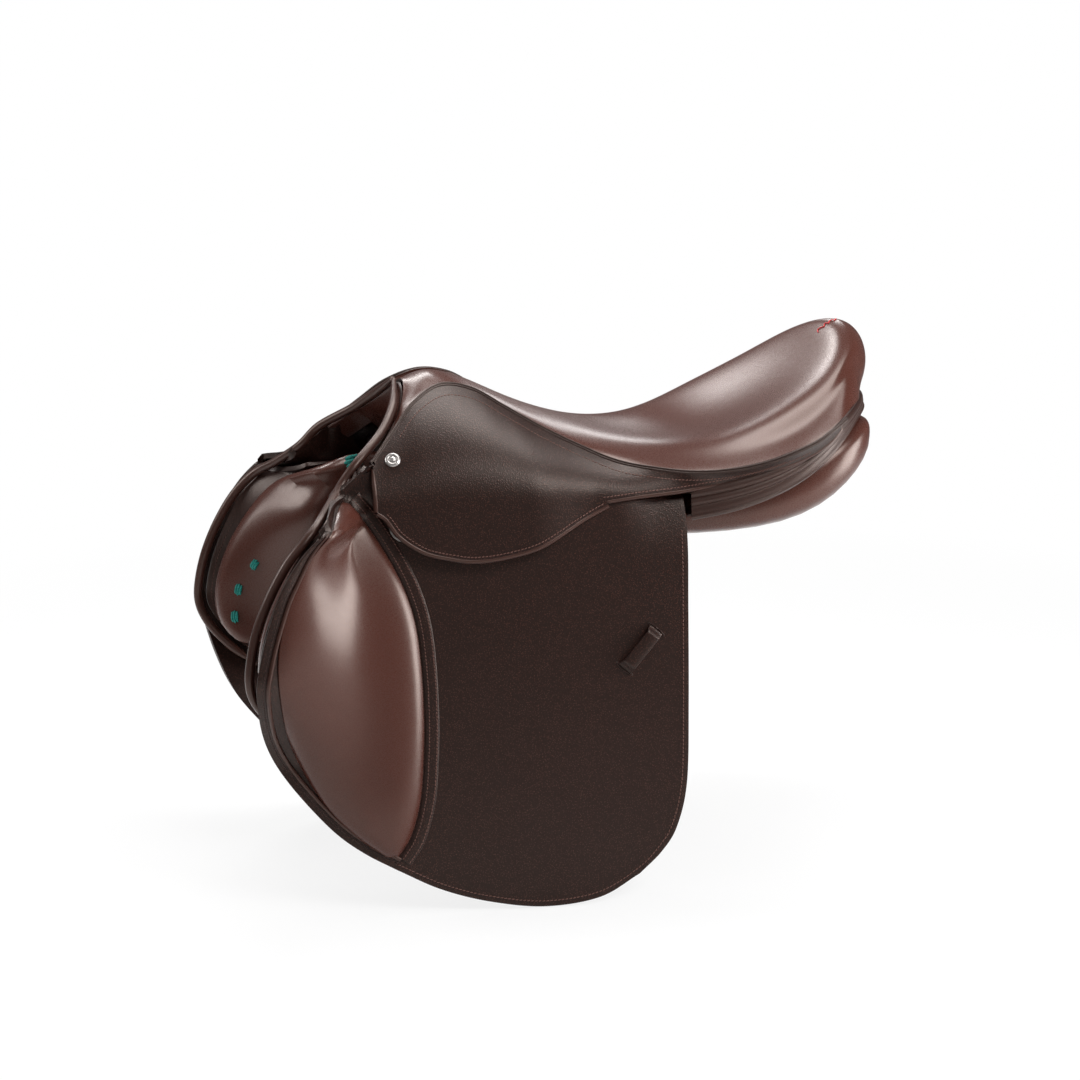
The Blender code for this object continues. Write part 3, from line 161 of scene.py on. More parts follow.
# The skirt's strip and the cantle's facing under it; the folds give the share of the way down the
# facing and how far the leather stands out there
STRIP_LOWER = ((-22, 40), (6, 43), (48, 47), (97, 56), (139, 69), (165, 82), (184, 98))
FACING_LOWER = ((52, 124, 22), (68, 129, 25), (85, 133, 28), (128, 135, 42), (156, 131, 56), (177, 122, 69),
                (198, 105, 84), (217, 80, 94), (236, 52, 95), (243, 0, 97))
FACING_UPPER = ((52, 121, 52), (68, 127, 55), (85, 133, 59), (128, 139, 71), (156, 136, 84), (177, 128, 97),
                (197, 111, 104), (216, 83, 107.5), (233, 48, 109.5), (240, 0, 109))
FACING_FOLDS = ((0.0, 0.0), (0.16, 0.2), (0.25, 2.2), (0.32, 2.9), (0.39, 1.8), (0.44, 0.2), (0.5, 2.0),
                (0.56, 2.7), (0.62, 1.5), (0.66, 0.3), (0.72, 1.4), (0.8, 1.9), (0.88, 1.8), (0.93, 1.9),
                (0.97, 2.7), (1.0, 1.2))
FACING_SEAM = 0.83
ROLL_HEAD = ((-177, 2.6, 131), (-184.5, 32, 115), (-200, 57.5, 97), (-222, 81, 74), (-237, 89, 54.5))

# Panels: sections of the body as (x, middle y, middle z, half width, half depth), and the legs'
# centre line (x, z) with the half width towards the rear edge as (x, z)
PANEL_BODY = (
    (234, 58, 78, 18, 12), (224, 62, 71, 30, 21), (205, 67, 60, 38, 28), (180, 70, 45, 43, 30),
    (145, 72, 31, 45, 28), (95, 71, 21, 46, 22.5), (45, 67, 18, 41, 20), (-15, 62, 20, 37, 21),
    (-70, 56, 26, 31, 22), (-98, 51, 30, 25, 22), (-125, 49, 34, 23, 21), (-160, 46, 38, 21, 20),
)
PANEL_LEG = (
    (-189, 45, 22, -20), (-212, 28, 27, -24), (-238, 1, 30, -24), (-261, -28, 32, -20),
    (-279, -60, 33, -14), (-289, -89, 31, -8), (-294, -109, 23, -3), (-294, -119, 11, -1),
)
LEG_RINGS = 13
LEG_BLEND = ((0.0, 0.5), (0.14, 0.85), (0.28, 1.0))  # share of the leg's own section along it
# Laces by the ring and column of the leg that they sit at, with their half length and height
LACES = ((0.25, 7.6, 8.0, 6.5), (7.5, 9.7, 5.5, 4.0), (9.0, 9.4, 5.5, 4.0), (10.4, 9.4, 5.5, 4.0))
PANEL_COLUMNS = 14

# Small pieces
NAIL_X, NAIL_Z = -199.0, 80.0
KEEPER_X, KEEPER_Z, KEEPER_TURN = 2.0, -85.0, 48.0
STRAP_X, STRAP_SPACING, STRAP_PIVOT_Z, STRAP_LENGTH = -85.0, 65.0, 30.0, 262.0


def smooth(t):
    t = min(1.0, max(0.0, t))
    return t * t * (3 - 2 * t)


def spline(points, places, steps=12):
    """Points on a smooth curve through the given ones, at the given shares of its length."""
    points = [Vector(p) for p in points]
    ends = [points[0] * 2 - points[1], *points, points[-1] * 2 - points[-2]]
    dense = []
    for a, b, c, d in zip(ends, ends[1:], ends[2:], ends[3:]):
        for k in range(steps):
            t = k / steps
            dense.append(0.5 * (2 * b + (c - a) * t + (2 * a - 5 * b + 4 * c - d) * t * t
                                + (3 * b - a - 3 * c + d) * t ** 3))
    dense.append(points[-1])
    lengths = np.cumsum([0.0] + [(b - a).length for a, b in zip(dense, dense[1:])])
    table = np.array([list(p) for p in dense])
    goals = np.array(places) * lengths[-1]
    columns = [np.interp(goals, lengths, table[:, k]) for k in range(table.shape[1])]
    return [Vector(p) for p in zip(*columns)]


def shares(count, power=1.0):
    return [(k / (count - 1)) ** power for k in range(count)]


def circle(sides):
    return [2 * math.pi * s / sides for s in range(sides)]


def reader(pairs):
    """A function that reads values off a smooth curve through (value, result) pairs."""
    dense = spline(sorted(pairs), shares(len(pairs) * 16))
    xs, ys = [p[0] for p in dense], [p[1] for p in dense]
    return lambda value: float(np.interp(value, xs, ys))


def patch(top, bottom, front, rear, across, down):
    """Fills four edges with a grid whose columns and rows stand at the given shares."""
    top, bottom = spline(top, across), spline(bottom, across)
    front, rear = spline(front, down), spline(rear, down)
    grid = []
    for i, v in enumerate(down):
        line = []
        for j, u in enumerate(across):
            flat = front[i] * (1 - u) + rear[i] * u + top[j] * (1 - v) + bottom[j] * v
            corners = ((top[0] * (1 - u) + top[-1] * u) * (1 - v)
                       + (bottom[0] * (1 - u) + bottom[-1] * u) * v)
            line.append(flat - corners)
        grid.append(line)
    return grid


# The lateral surfaces

edge_x = reader([(36, -269), *[(p[1], p[0]) for p in FLAP_FRONT[3:]]])
strip_low = reader(STRIP_LOWER)


def layer(x, z, side, offset, drop=0.0):
    """A point on the flap's side of the saddle, offset outwards from the flap's outer face."""
    base = HALF_WIDTH + SPLAY * (x - BAR_X) + SLOPE * (FOLD_Z - z)
    fade = (1 - 0.08 * smooth((20 - z) / 100)) * (1 - smooth((FLARE_FADE - z) / FLARE_RUN))
    reach = FLARE_REACH * (1 + 1.2 * smooth((30 - z) / 100))
    top = smooth((FLARE_TOP - drop - z) / FLARE_RISE)
    y = base + FLARE * top * fade * smooth(1 - (x - edge_x(z)) / reach) + offset
    return Vector((x, side * y, z))


def skirt_offset(x):
    """Offset of the skirt's outer face from the flap's, with room for the stirrup bar."""
    return TOUCH + SKIRT_LEATHER + BAR_ROOM * (1 - smooth((x - BUMP_END) / BUMP_RUN))


def welt_line():
    """The middle of the welt for the right side, and the way down from it at each station."""
    flanks = [Vector(s[2]) for s in SEAT_STATIONS]
    edges = [Vector(s[3]) for s in SEAT_STATIONS]
    line = []
    for k in range(WELT_STATIONS):
        along = (edges[k + 1] - edges[max(0, k - 1)]).normalized()
        across = edges[k] - flanks[k]
        away = (across - along * across.dot(along)).normalized()
        down = along.cross(Vector((0, -1, 0))).normalized()
        line.append((edges[k] + away * (WELT_DIAMETER / 2 + WELT_GAP), down))
    return line


SKIRT_LINE = [p + down * SKIRT_DROP + Vector((0, SKIRT_OUT, 0)) for p, down in welt_line()]
skirt_high = reader([(p.x, p.z) for p in SKIRT_LINE])
skirt_wide = reader([(p.x, p.y) for p in SKIRT_LINE])


def skirt_point(x, z, side, lift=0.0):
    """A point of the skirt's outer face: bowed in to the welt above the fold line, flat below it."""
    fold = layer(x, min(z, FOLD_Z), RIGHT, skirt_offset(x) + lift)
    if z <= FOLD_Z:
        return Vector((x, side * fold.y, z))
    high, wide = skirt_high(x), skirt_wide(x) + lift
    span = max(0.0, min(1.0, (high - z) / (high - FOLD_Z)))
    low = fold.y - SLOPE * (z - FOLD_Z)
    return Vector((x, side * (wide + (low - wide) * (1 - (1 - span) ** SKIRT_BOW)), z))


def flap_point(x, z, side, lift=0.0):
    """A point of the flap's outer face, which tucks in under the skirt above the fold line."""
    place = layer(x, z, side, lift)
    if z > FOLD_Z and x > SKIRT_FRONT:
        inner = abs(skirt_point(x, z, RIGHT, -SKIRT_LEATHER - TUCK_GAP).y)
        share = smooth((x - SKIRT_FRONT) / TUCK_RUN)
        place.y = side * (abs(place.y) * (1 - share) + min(abs(place.y), inner) * share)
    place.y += side * HEAD_LIFT * smooth((z - FOLD_Z - 2) / 12) * smooth((SKIRT_FRONT + 8 - x) / 10)
    place.y -= side * REAR_BOW * smooth((x + 12) / 36) * min(1.0, max(0.0, (z + 22) / 62)) ** 2
    return place


def normal_of(face, a, b, side, step=0.6):
    """A point of a face and its outward normal there."""
    here = face(a, b, side)
    across = face(a + step, b, side) - face(a - step, b, side)
    up = face(a, b + step, side) - face(a, b - step, side)
    out = across.cross(up).normalized()
    return here, out if out.y * side > 0 else -out


# Smooth surfaces through points

def weights(count, places):
    """Weights of a cubic B-spline's control points at the given places, ends running straight on."""
    table = np.zeros((len(places), count))
    for row, place in enumerate(places):
        k = min(int(place), count - 2)
        f = place - k
        basis = ((1 - f) ** 3, 3 * f ** 3 - 6 * f * f + 4, -3 * f ** 3 + 3 * f * f + 3 * f + 1, f ** 3)
        for index, weight in zip(range(k - 1, k + 3), basis):
            weight /= 6
            if index < 0:
                table[row, 0] += 2 * weight
                table[row, 1] -= weight
            elif index >= count:
                table[row, count - 1] += 2 * weight
                table[row, count - 2] -= weight
            else:
                table[row, index] += weight
    return table


def controls(count):
    """Matrix from points to the control points whose curve passes through them."""
    return np.linalg.inv(weights(count, range(count)))


def surface(points, rows, columns):
    """A dense grid on the smooth surface through a grid of points."""
    grid = np.array([[list(p) for p in line] for line in points], float)
    n, m = grid.shape[:2]
    down = weights(n, np.linspace(0, n - 1, rows)) @ controls(n)
    across = weights(m, np.linspace(0, m - 1, columns)) @ controls(m)
    dense = np.einsum("ij,jkc,lk->ilc", down, grid, across)
    return [[Vector(p) for p in line] for line in dense]


# Mesh helpers

# Sections of one stitch: share of its length from the middle, width and height in thread radii
STITCH = ((-0.5, 0.35, -0.75), (-0.36, 0.9, 0.05), (0, 1.0, 0.3), (0.36, 0.9, 0.05), (0.5, 0.35, -0.75))


class Shape:
    """Points and faces of one mesh, in millimetres, gathered from several bodies."""

    def __init__(self):
        self.points, self.faces, self.slots = [], [], []

    def add(self, points, faces, slot=0):
        base = len(self.points)
        self.points += [Vector(p) for p in points]
        self.faces += [[base + k for k in f] for f in faces]
        self.slots += [slot] * len(faces)

    def skin(self, rings, slot=0, closed=False, tips=()):
        """A form through rings of points, its ends closed flat or drawn to two tips."""
        count, sides = len(rings), len(rings[0])
        points = [p for ring in rings for p in ring] + list(tips)
        faces = []
        for k in range(count if closed else count - 1):
            a, b = k * sides, (k + 1) % count * sides
            faces += [(a + s, a + (s + 1) % sides, b + (s + 1) % sides, b + s) for s in range(sides)]
        last = (count - 1) * sides
        if tips:
            for start, tip in ((0, len(points) - 2), (last, len(points) - 1)):
                faces += [(start + s, start + (s + 1) % sides, tip) for s in range(sides)]
        elif not closed:
            faces += [list(range(sides))[::-1], list(range(last, last + sides))]
        self.add(points, faces, slot)

    def tube(self, line, radius, sides=10, slot=0, closed=False):
        """A round cord along a line; radius may be a list."""
        count = len(line)
        radii = radius if isinstance(radius, list) else [radius] * count
        rings, previous = [], None
        for k, p in enumerate(line):
            a = line[(k - 1) % count] if closed or k else line[0]
            b = line[(k + 1) % count] if closed or k < count - 1 else line[-1]
            along = (b - a).normalized()
            if previous is None:
                previous = along.orthogonal().normalized()
            previous = (previous - along * previous.dot(along)).normalized()
            other = along.cross(previous)
            rings.append([p + (previous * math.cos(t) + other * math.sin(t)) * radii[k]
                          for t in circle(sides)])
        self.skin(rings, slot, closed)

    def slab(self, outer, inner):
        """A closed form between two grids of the same size."""
        rows, columns = len(outer), len(outer[0])
        points = [p for grid in (outer, inner) for line in grid for p in line]
        at = lambda k, i, j: k * rows * columns + i * columns + j
        faces = []
        for k in (0, 1):
            faces += [(at(k, i, j), at(k, i, j + 1), at(k, i + 1, j + 1), at(k, i + 1, j))
                      for i in range(rows - 1) for j in range(columns - 1)]
        ring = [(0, j) for j in range(columns)] + [(i, columns - 1) for i in range(1, rows)]
        ring += [(rows - 1, j) for j in range(columns - 2, -1, -1)]
        ring += [(i, 0) for i in range(rows - 2, 0, -1)]
        faces += [(at(0, *a), at(0, *b), at(1, *b), at(1, *a)) for a, b in zip(ring, ring[1:] + ring[:1])]
        self.add(points, faces)

    def stitches(self, line, pitch, radius, sink=0.16):
        """A row of saddle stitches along a line of (point, normal) pairs."""
        points = [p for p, n in line]
        lengths = np.cumsum([0.0] + [(b - a).length for a, b in zip(points, points[1:])])
        count = max(2, int(lengths[-1] / pitch))
        table = np.array([[*p, *n] for p, n in line])
        read = lambda s: [np.interp(s, lengths, table[:, k]) for k in range(6)]
        for k in range(count):
            middle = (k + 0.5) * lengths[-1] / count
            here, before, after = (read(middle + d) for d in (0, -0.5, 0.5))
            out = Vector(here[3:]).normalized()
            along = (Vector(after[:3]) - Vector(before[:3])).normalized()
            along = (along + out.cross(along) * 0.16).normalized()
            side = out.cross(along)
            centre = Vector(here[:3]) + out * (radius * 0.35 - sink)
            rings = []
            for t, wide, high in STITCH:
                place = centre + along * (t * pitch * 0.84) + out * radius * high
                rings.append([place + (side * math.cos(a) + out * math.sin(a)) * radius * wide
                              for a in circle(6)])
            self.skin(rings)

    def mesh(self, name):
        mesh = bpy.data.meshes.new(name)
        mesh.from_pydata([p * MM for p in self.points], [], self.faces)
        mesh.polygons.foreach_set("material_index", self.slots)
        mesh.validate()
        return mesh


def finished(name, shape, looks, angle=40):
    """Links a shape as an object with consistent outward faces and sharp corners kept."""
    mesh = shape.mesh(name)
    bm = bmesh.new()
    bm.from_mesh(mesh)
    bmesh.ops.recalc_face_normals(bm, faces=bm.faces)
    bm.to_mesh(mesh)
    bm.free()
    mesh.shade_smooth()
    mesh.set_sharp_from_angle(angle=math.radians(angle))
    result = bpy.data.objects.new(name, mesh)
    for look in looks:
        mesh.materials.append(look)
    bpy.context.scene.collection.objects.link(result)
    return result


def applied(obj):
    """The object with its modifiers made part of its mesh."""
    shown = obj.evaluated_get(bpy.context.evaluated_depsgraph_get())
    mesh = bpy.data.meshes.new_from_object(shown)
    obj.modifiers.clear()
    old = obj.data
    obj.data = mesh
    bpy.data.meshes.remove(old)
    return obj


def sheet(name, grid, thickness, looks, outwards, rim=1.4):
    """A piece of leather under a grid of points of its outer face, with rounded edges."""
    bm = bmesh.new()
    verts = [[bm.verts.new(p * MM) for p in line] for line in grid]
    for i in range(len(grid) - 1):
        for j in range(len(grid[0]) - 1):
            bm.faces.new((verts[i][j], verts[i][j + 1], verts[i + 1][j + 1], verts[i + 1][j]))
    bm.normal_update()
    total = sum((f.normal * f.calc_area() for f in bm.faces), Vector())
    if total.dot(Vector(outwards)) < 0:
        bmesh.ops.reverse_faces(bm, faces=bm.faces)
    mesh = bpy.data.meshes.new(name)
    bm.to_mesh(mesh)
    bm.free()
    result = bpy.data.objects.new(name, mesh)
    bpy.context.scene.collection.objects.link(result)
    for look in looks:
        mesh.materials.append(look)
    thick = result.modifiers.new("thickness", "SOLIDIFY")
    thick.thickness = thickness * MM
    thick.offset = -1
    thick.material_offset_rim = len(looks) - 1
    if rim:
        round_off = result.modifiers.new("rim", "BEVEL")
        round_off.width = rim * MM
        round_off.segments = 3
        round_off.limit_method = "ANGLE"
        round_off.angle_limit = math.radians(50)
    applied(result)
    result.data.shade_smooth()
    result.data.set_sharp_from_angle(angle=math.radians(50))
    return result


def placed(obj, where, nodes=()):
    """Rides a piece on a body; given two bodies and two heights instead, it leaves the piece fixed where it
    is.
    """
    if isinstance(where, str):
        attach(obj, where)
    else:
        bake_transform(obj)
    if nodes:
        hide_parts(*nodes)
    return obj


def sewn(name, where, look, *rows):
    """Rows of stitches as one piece, each given as its line, pitch and thread radius."""
    thread = Shape()
    for row in rows:
        thread.stitches(*row)
    placed(finished(name, thread, [look]), where)


# Materials

def node(tree, kind, inputs=None, output=0, **settings):
    """Adds a shader node and gives one of its outputs."""
    made = tree.nodes.new("ShaderNode" + kind)
    for key, value in settings.items():
        setattr(made, key, value)
    for key, value in (inputs or {}).items():
        if isinstance(value, bpy.types.NodeSocket):
            tree.links.new(value, made.inputs[key])
        else:
            made.inputs[key].default_value = value
    return made.outputs[output]


class Look:
    """A material in the making, with shorthand for the nodes that the looks share."""

    def __init__(self, name, colour=None):
        self.material = bpy.data.materials.new(name)
        self.material.use_nodes = True
        if colour:
            self.material.diffuse_color = (*colour, 1)
        self.tree = self.material.node_tree
        self.shader = self.tree.nodes["Principled BSDF"]
        self.place = self.add("TexCoord", output="Object")

    def add(self, kind, inputs=None, output=0, **settings):
        return node(self.tree, kind, inputs, output, **settings)

    def noise(self, scale, detail, output="Fac", **more):
        inputs = {"Vector": self.place, "Scale": scale, "Detail": detail, **more}
        return self.add("TexNoise", inputs, output)

    def mixed(self, share, low, high):
        """A colour between two others, each given as three levels or as an output."""
        low, high = (c if isinstance(c, bpy.types.NodeSocket) else (*c, 1) for c in (low, high))
        return self.add("Mix", {"Factor": share, 6: low, 7: high}, 2, data_type="RGBA")

    def mapped(self, value, low=0.0, high=1.0, start=0.0, end=1.0, **settings):
        ends = {"From Min": start, "From Max": end, "To Min": low, "To Max": high}
        return self.add("MapRange", {"Value": value, **ends}, **settings)

    def finish(self, tone, rough, height, depth, strength=1.0, **levels):
        """Links colour, roughness and relief to the shader and sets its plain levels."""
        bump = self.add("Bump", {"Height": height, "Distance": depth, "Strength": strength})
        for name, value in (("Base Color", tone), ("Roughness", rough), ("Normal", bump)):
            self.tree.links.new(value, self.shader.inputs[name])
        for name, value in levels.items():
            self.shader.inputs[name.replace("_", " ")].default_value = value
        return self.material


PORE_SHARE = 0.25  # of the pores in leather's relief


def leather(name, colour, deep, painted_highlight, cell, depth, rough, gloss=0.5):
    """Leather: pebbled grain of a cell size in millimetres, mottled dye, duller creases with painted shade
    in them and painted highlights on the pebbles' tops.
    """
    look = Look(name, colour)
    drift = look.noise(260.0 / cell, 2.0, "Color")
    shift = look.add("VectorMath", {0: drift, 1: (0.5, 0.5, 0.5)}, operation="SUBTRACT")
    scaled = look.add("VectorMath", {0: shift, "Scale": 0.0011 * cell}, operation="SCALE")
    warped = look.add("VectorMath", {0: look.place, 1: scaled}, operation="ADD")
    cells = look.add("TexVoronoi", {"Vector": warped, "Scale": 1000.0 / cell, "Smoothness": 0.35},
                     "Distance", feature="SMOOTH_F1")
    dome = look.mapped(cells, start=0.62, end=0.1, interpolation_type="SMOOTHSTEP")
    pores = look.noise(2600.0 / cell, 3.0)
    height = look.add("Math", {0: pores, 1: PORE_SHARE, 2: dome}, operation="MULTIPLY_ADD")
    blotch = look.mapped(look.noise(16.0, 5.0, Roughness=0.6), start=0.35, end=0.65)
    # Painted shade: the creases between the pebbles take the deep colour.
    shade = look.mixed(dome, deep, look.mixed(blotch, colour, [0.8 * c for c in colour]))
    # Painted highlight: the pebbles' tops take a lighter colour.
    tone = look.mixed(look.mapped(dome, start=0.75), shade, painted_highlight)
    dull = look.mapped(height, rough + 0.1, rough - 0.03)
    return look.finish(tone, dull, height, depth * MM, Specular_IOR_Level=gloss,
                       Specular_Tint=(1.0, 0.85, 0.77, 1.0))


def metal(name, colour, rough):
    """Nickel or steel with fine rubbing marks."""
    look = Look(name, colour)
    marks = look.noise(900.0, 4.0)
    tone = look.mixed(look.noise(90.0, 2.0), colour, [0.82 * c for c in colour])
    wear = look.mapped(marks, rough - 0.06, rough + 0.12)
    return look.finish(tone, wear, marks, 0.00002, 0.12, Metallic=1.0)


def woven(name, colour, deep, pitch, rough=0.75):
    """Thread, webbing or cord: two crossing sets of yarns."""
    look = Look(name, colour)
    yarn = {"Vector": look.place, "Scale": 314.0 / pitch, "Distortion": 1.5, "Detail": 1.0,
            "Detail Scale": 4.0}
    waves = [look.add("TexWave", yarn, "Fac", bands_direction=axis) for axis in ("X", "Z")]
    both = look.add("Math", {0: waves[0], 1: waves[1]}, operation="MULTIPLY")
    fuzz = look.noise(2400.0, 3.0)
    height = look.add("Math", {0: fuzz, 1: 0.3, 2: both}, operation="MULTIPLY_ADD")
    dull = look.mapped(fuzz, rough - 0.1, rough + 0.1)
    # Painted shade: the low parts of the weave take the deep colour.
    return look.finish(look.mixed(height, deep, colour), dull, height, 0.00015, 0.7)


def grained_wood(name, colour, deep):
    """Laminated beech of the tree, stained dark."""
    look = Look(name)
    stretch = look.add("Mapping", {"Vector": look.place, "Scale": (6.0, 60.0, 60.0)})
    rings = look.noise(3.0, 8.0, Vector=stretch, Roughness=0.65)
    dull = look.mapped(rings, 0.62, 0.42)
    return look.finish(look.mixed(rings, deep, colour), dull, rings, 0.0002, 0.5)


# Each leather: its colour, the painted shade in its creases, the painted highlight on its pebbles' tops,
# cell size, relief depth and roughness, and a gloss level where given.
CALF = leather("calf", (0.080, 0.0262, 0.0182), (0.056, 0.0172, 0.0118), (0.088, 0.0305, 0.0216),
               0.8, 0.010, 0.23)
GRAIN = leather("grain", (0.028, 0.0086, 0.0060), (0.010, 0.0032, 0.0022), (0.066, 0.028, 0.021),
                1.35, 0.080, 0.33, gloss=0.4)
UNDER = leather("under", (0.040, 0.0145, 0.0105), (0.022, 0.0080, 0.0058), (0.047, 0.018, 0.0135),
                1.0, 0.04, 0.38)
PIPING = leather("piping", (0.058, 0.0215, 0.0155), (0.034, 0.0120, 0.0085), (0.066, 0.026, 0.019),
                 0.9, 0.02, 0.30)
DYE = leather("dye", (0.026, 0.0095, 0.0070), (0.016, 0.0058, 0.0043), (0.030, 0.0115, 0.0085),
              0.6, 0.02, 0.38)
THREAD = woven("thread", (0.19, 0.085, 0.065), (0.09, 0.038, 0.028), 0.5)
DARK_THREAD = woven("dark_thread", (0.07, 0.030, 0.024), (0.025, 0.010, 0.008), 0.5)
RED_THREAD = woven("red_thread", (0.72, 0.05, 0.055), (0.40, 0.02, 0.02), 0.5)
LACE = woven("lace", (0.0, 0.30, 0.25), (0.0, 0.10, 0.085), 1.3)
WEBBING = woven("webbing", (0.72, 0.66, 0.5), (0.40, 0.35, 0.25), 2.2, 0.85)
WOOD = grained_wood("wood", (0.085, 0.046, 0.027), (0.042, 0.021, 0.012))
STEEL = metal("steel", (0.52, 0.52, 0.53), 0.32)
NICKEL = metal("nickel", (0.50, 0.47, 0.45), 0.36)
# Painted shade: a darkened copy of the nickel for the dees, which lie under the skirt's edge.
SHADED_NICKEL = metal("shaded_nickel", (0.20, 0.185, 0.175), 0.42)

NODE_LOOKS = {
    "tree": WOOD, "tree_point_left": WOOD, "tree_point_right": WOOD, "head_plate": STEEL,
    "spring_left": STEEL, "spring_right": STEEL, "stirrup_bar_left": STEEL, "stirrup_bar_right": STEEL,
    "bar_catch_left": STEEL, "bar_catch_right": STEEL, "seat_web": WEBBING, "girth_web_left": WEBBING,
    "girth_web_right": WEBBING, "dee_left": SHADED_NICKEL, "dee_right": SHADED_NICKEL, "dee_chape_left": GRAIN,
    "dee_chape_right": GRAIN,
}


def dress_nodes():
    """Gives the CAD nodes that stay in view their materials."""
    for name, look in NODE_LOOKS.items():
        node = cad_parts[name]
        node.data.materials.clear()
        node.data.materials.append(look)


# Seat

def seat_points():
    """The seat's stations across both sides, their ends drawn down at the welt."""
    rows = []
    for k, (middle, *flank) in enumerate(SEAT_STATIONS):
        right = [Vector(p) for p in flank]
        if k < WELT_STATIONS:
            right[-1] += (right[-1] - right[-2]).normalized() * SEAT_TUCK
        left = [Vector((p.x, -p.y, p.z)) for p in reversed(right)]
        rows.append([*left, Vector((middle[0], 0, middle[1])), *right])
    return rows


def grid_normals(grid):
    rows, columns = len(grid), len(grid[0])
    result = []
    for i in range(rows):
        line = []
        for j in range(columns):
            along = grid[min(i + 1, rows - 1)][j] - grid[max(i - 1, 0)][j]
            across = grid[i][min(j + 1, columns - 1)] - grid[i][max(j - 1, 0)]
            line.append(along.cross(across).normalized())
        result.append(line)
    return result


SEAT_ROWS, SEAT_COLUMNS = 155, 85


def eased(grid, times):
    """A grid of points smoothed between its four edges."""
    table = np.array([[list(p) for p in line] for line in grid])
    for _ in range(times):
        around = table[:-2, 1:-1] + table[2:, 1:-1] + table[1:-1, :-2] + table[1:-1, 2:]
        table[1:-1, 1:-1] += 0.125 * (around - 4 * table[1:-1, 1:-1])
    return [[Vector(p) for p in line] for line in table]


def seat_grid():
    """The seat's outer face: eased between its edges, with a hollow under the cantle's crest."""
    grid = eased(surface(seat_points(), SEAT_ROWS, SEAT_COLUMNS), EASING)
    normals = grid_normals(grid)
    for i, line in enumerate(grid):
        along = i / (SEAT_ROWS - 1) * (len(SEAT_STATIONS) - 1)
        far = smooth((along - 10.5) / 3.5) * smooth((21 - along) / 2.5)
        for j, p in enumerate(line):
            across = abs(2 * j / (SEAT_COLUMNS - 1) - 1)
            dip = math.exp(-((across - HOLLOW_PLACE) / HOLLOW_WIDTH) ** 2)
            line[j] = p - normals[i][j] * HOLLOW * far * dip
    return grid


SEAT = seat_grid()


def build_seat():
    seat = sheet("seat", SEAT, SEAT_LEATHER, (CALF, DYE), (0, 0, 1), rim=0.9)
    placed(seat, "saddle", ("seat_cover", "seat_foam"))


def build_welts(side, word):
    """The double bead between the seat and the skirt, over a thin core cord."""
    line = spline([Vector((p.x, side * p.y, p.z)) for p, down in welt_line()], shares(150))
    downs = spline([Vector((d.x, side * d.y, d.z)) for p, d in welt_line()], shares(150))
    shape = Shape()
    shape.tube(line, 1.3, 8, 1)
    for rise, proud in ((1.0, 0.5), (-0.7, 1.3)):
        shape.tube([p - d * rise + Vector((0, side * proud, 0)) for p, d in zip(line, downs)], 0.85, 10)
    welt = finished(f"seat_piping_{word}", shape, [DYE, DYE])
    placed(welt, "saddle", (f"seat_welt_{word}",))


# Side leather

def flap_grid(side):
    """The flap's outer face, with closer points towards its front edge and its head."""
    low = patch(FLAP_HEAD, FLAP_BOTTOM, FLAP_FRONT, FLAP_REAR, shares(112, 1.15), shares(116, 1.25))
    return [[flap_point(p.x, p.y, side) for p in line] for line in low]


def inset(line, distance, narrow=0.0):
    """A line of (x, z) points moved to its left by a distance, less over a narrow share at its start."""
    result = []
    for k, p in enumerate(line):
        along = line[min(k + 1, len(line) - 1)] - line[max(k - 1, 0)]
        share = 0.3 + 0.7 * smooth(k / len(line) / narrow) if narrow else 1.0
        result.append(p + Vector((-along.y, along.x)).normalized() * distance * share)
    return result


def on_face(face, line, side):
    return [normal_of(face, p.x, p.y, side) for p in line]


def build_flap(side, word):
    flap = sheet(f"flap_leather_{word}", flap_grid(side), FLAP_LEATHER, (GRAIN, DYE), (0, side, 0), rim=1.5)
    placed(flap, ("saddle", f"flap_{word}", *FLAP_FOLD), (f"flap_{word}", f"flap_top_{word}"))
    build_flap_trim(side, word)
    build_knee_pad(side, word)
    build_keeper(side, word)


def build_flap_trim(side, word):
    """Stitching round the flap, the binding beside the knee pad and the bead in front of it."""
    fold = ("saddle", f"flap_{word}", *FLAP_FOLD)
    rim = spline([*FLAP_REAR[1:], *reversed(FLAP_BOTTOM[:-1])], shares(260))
    rear = spline(KNEE_PAD_REAR, shares(140))
    band = []
    for share in shares(7):
        crown = 0.35 + 1.1 * (1 - abs(2 * share - 1) ** 4)
        band.append([p + n * crown for p, n in on_face(flap_point, inset(rear, 0.6 + 12.2 * share), side)])
    binding = sheet(f"pad_binding_{word}", band, 1.2, (GRAIN, DYE), (0, side, 0), rim=0.4)
    placed(binding, fold)
    front = spline(FLAP_FRONT, shares(200))[14:]
    shape = Shape()
    radii = [1.9 * min(1.0, 0.3 + k / 24) for k in range(len(front))]
    shape.tube([p + n * 0.7 for p, n in on_face(flap_point, inset(front, 9.2, 0.15), side)], radii)
    placed(finished(f"pad_bead_{word}", shape, [PIPING]), fold)
    seam = on_face(flap_point, inset(front, 5.2, 0.15), side)
    sewn(f"flap_seam_{word}", fold, DARK_THREAD, (seam, 3.0, 0.4))
    rows = [([(p + n * 1.3, n) for p, n in on_face(flap_point, inset(rear, distance), side)], 3.0, 0.4)
            for distance in (4.2, 10.6)]
    seam = on_face(flap_point, inset(rim, -4.6), side)
    sewn(f"flap_stitching_{word}", fold, THREAD, (seam, 3.3, 0.42), *rows)


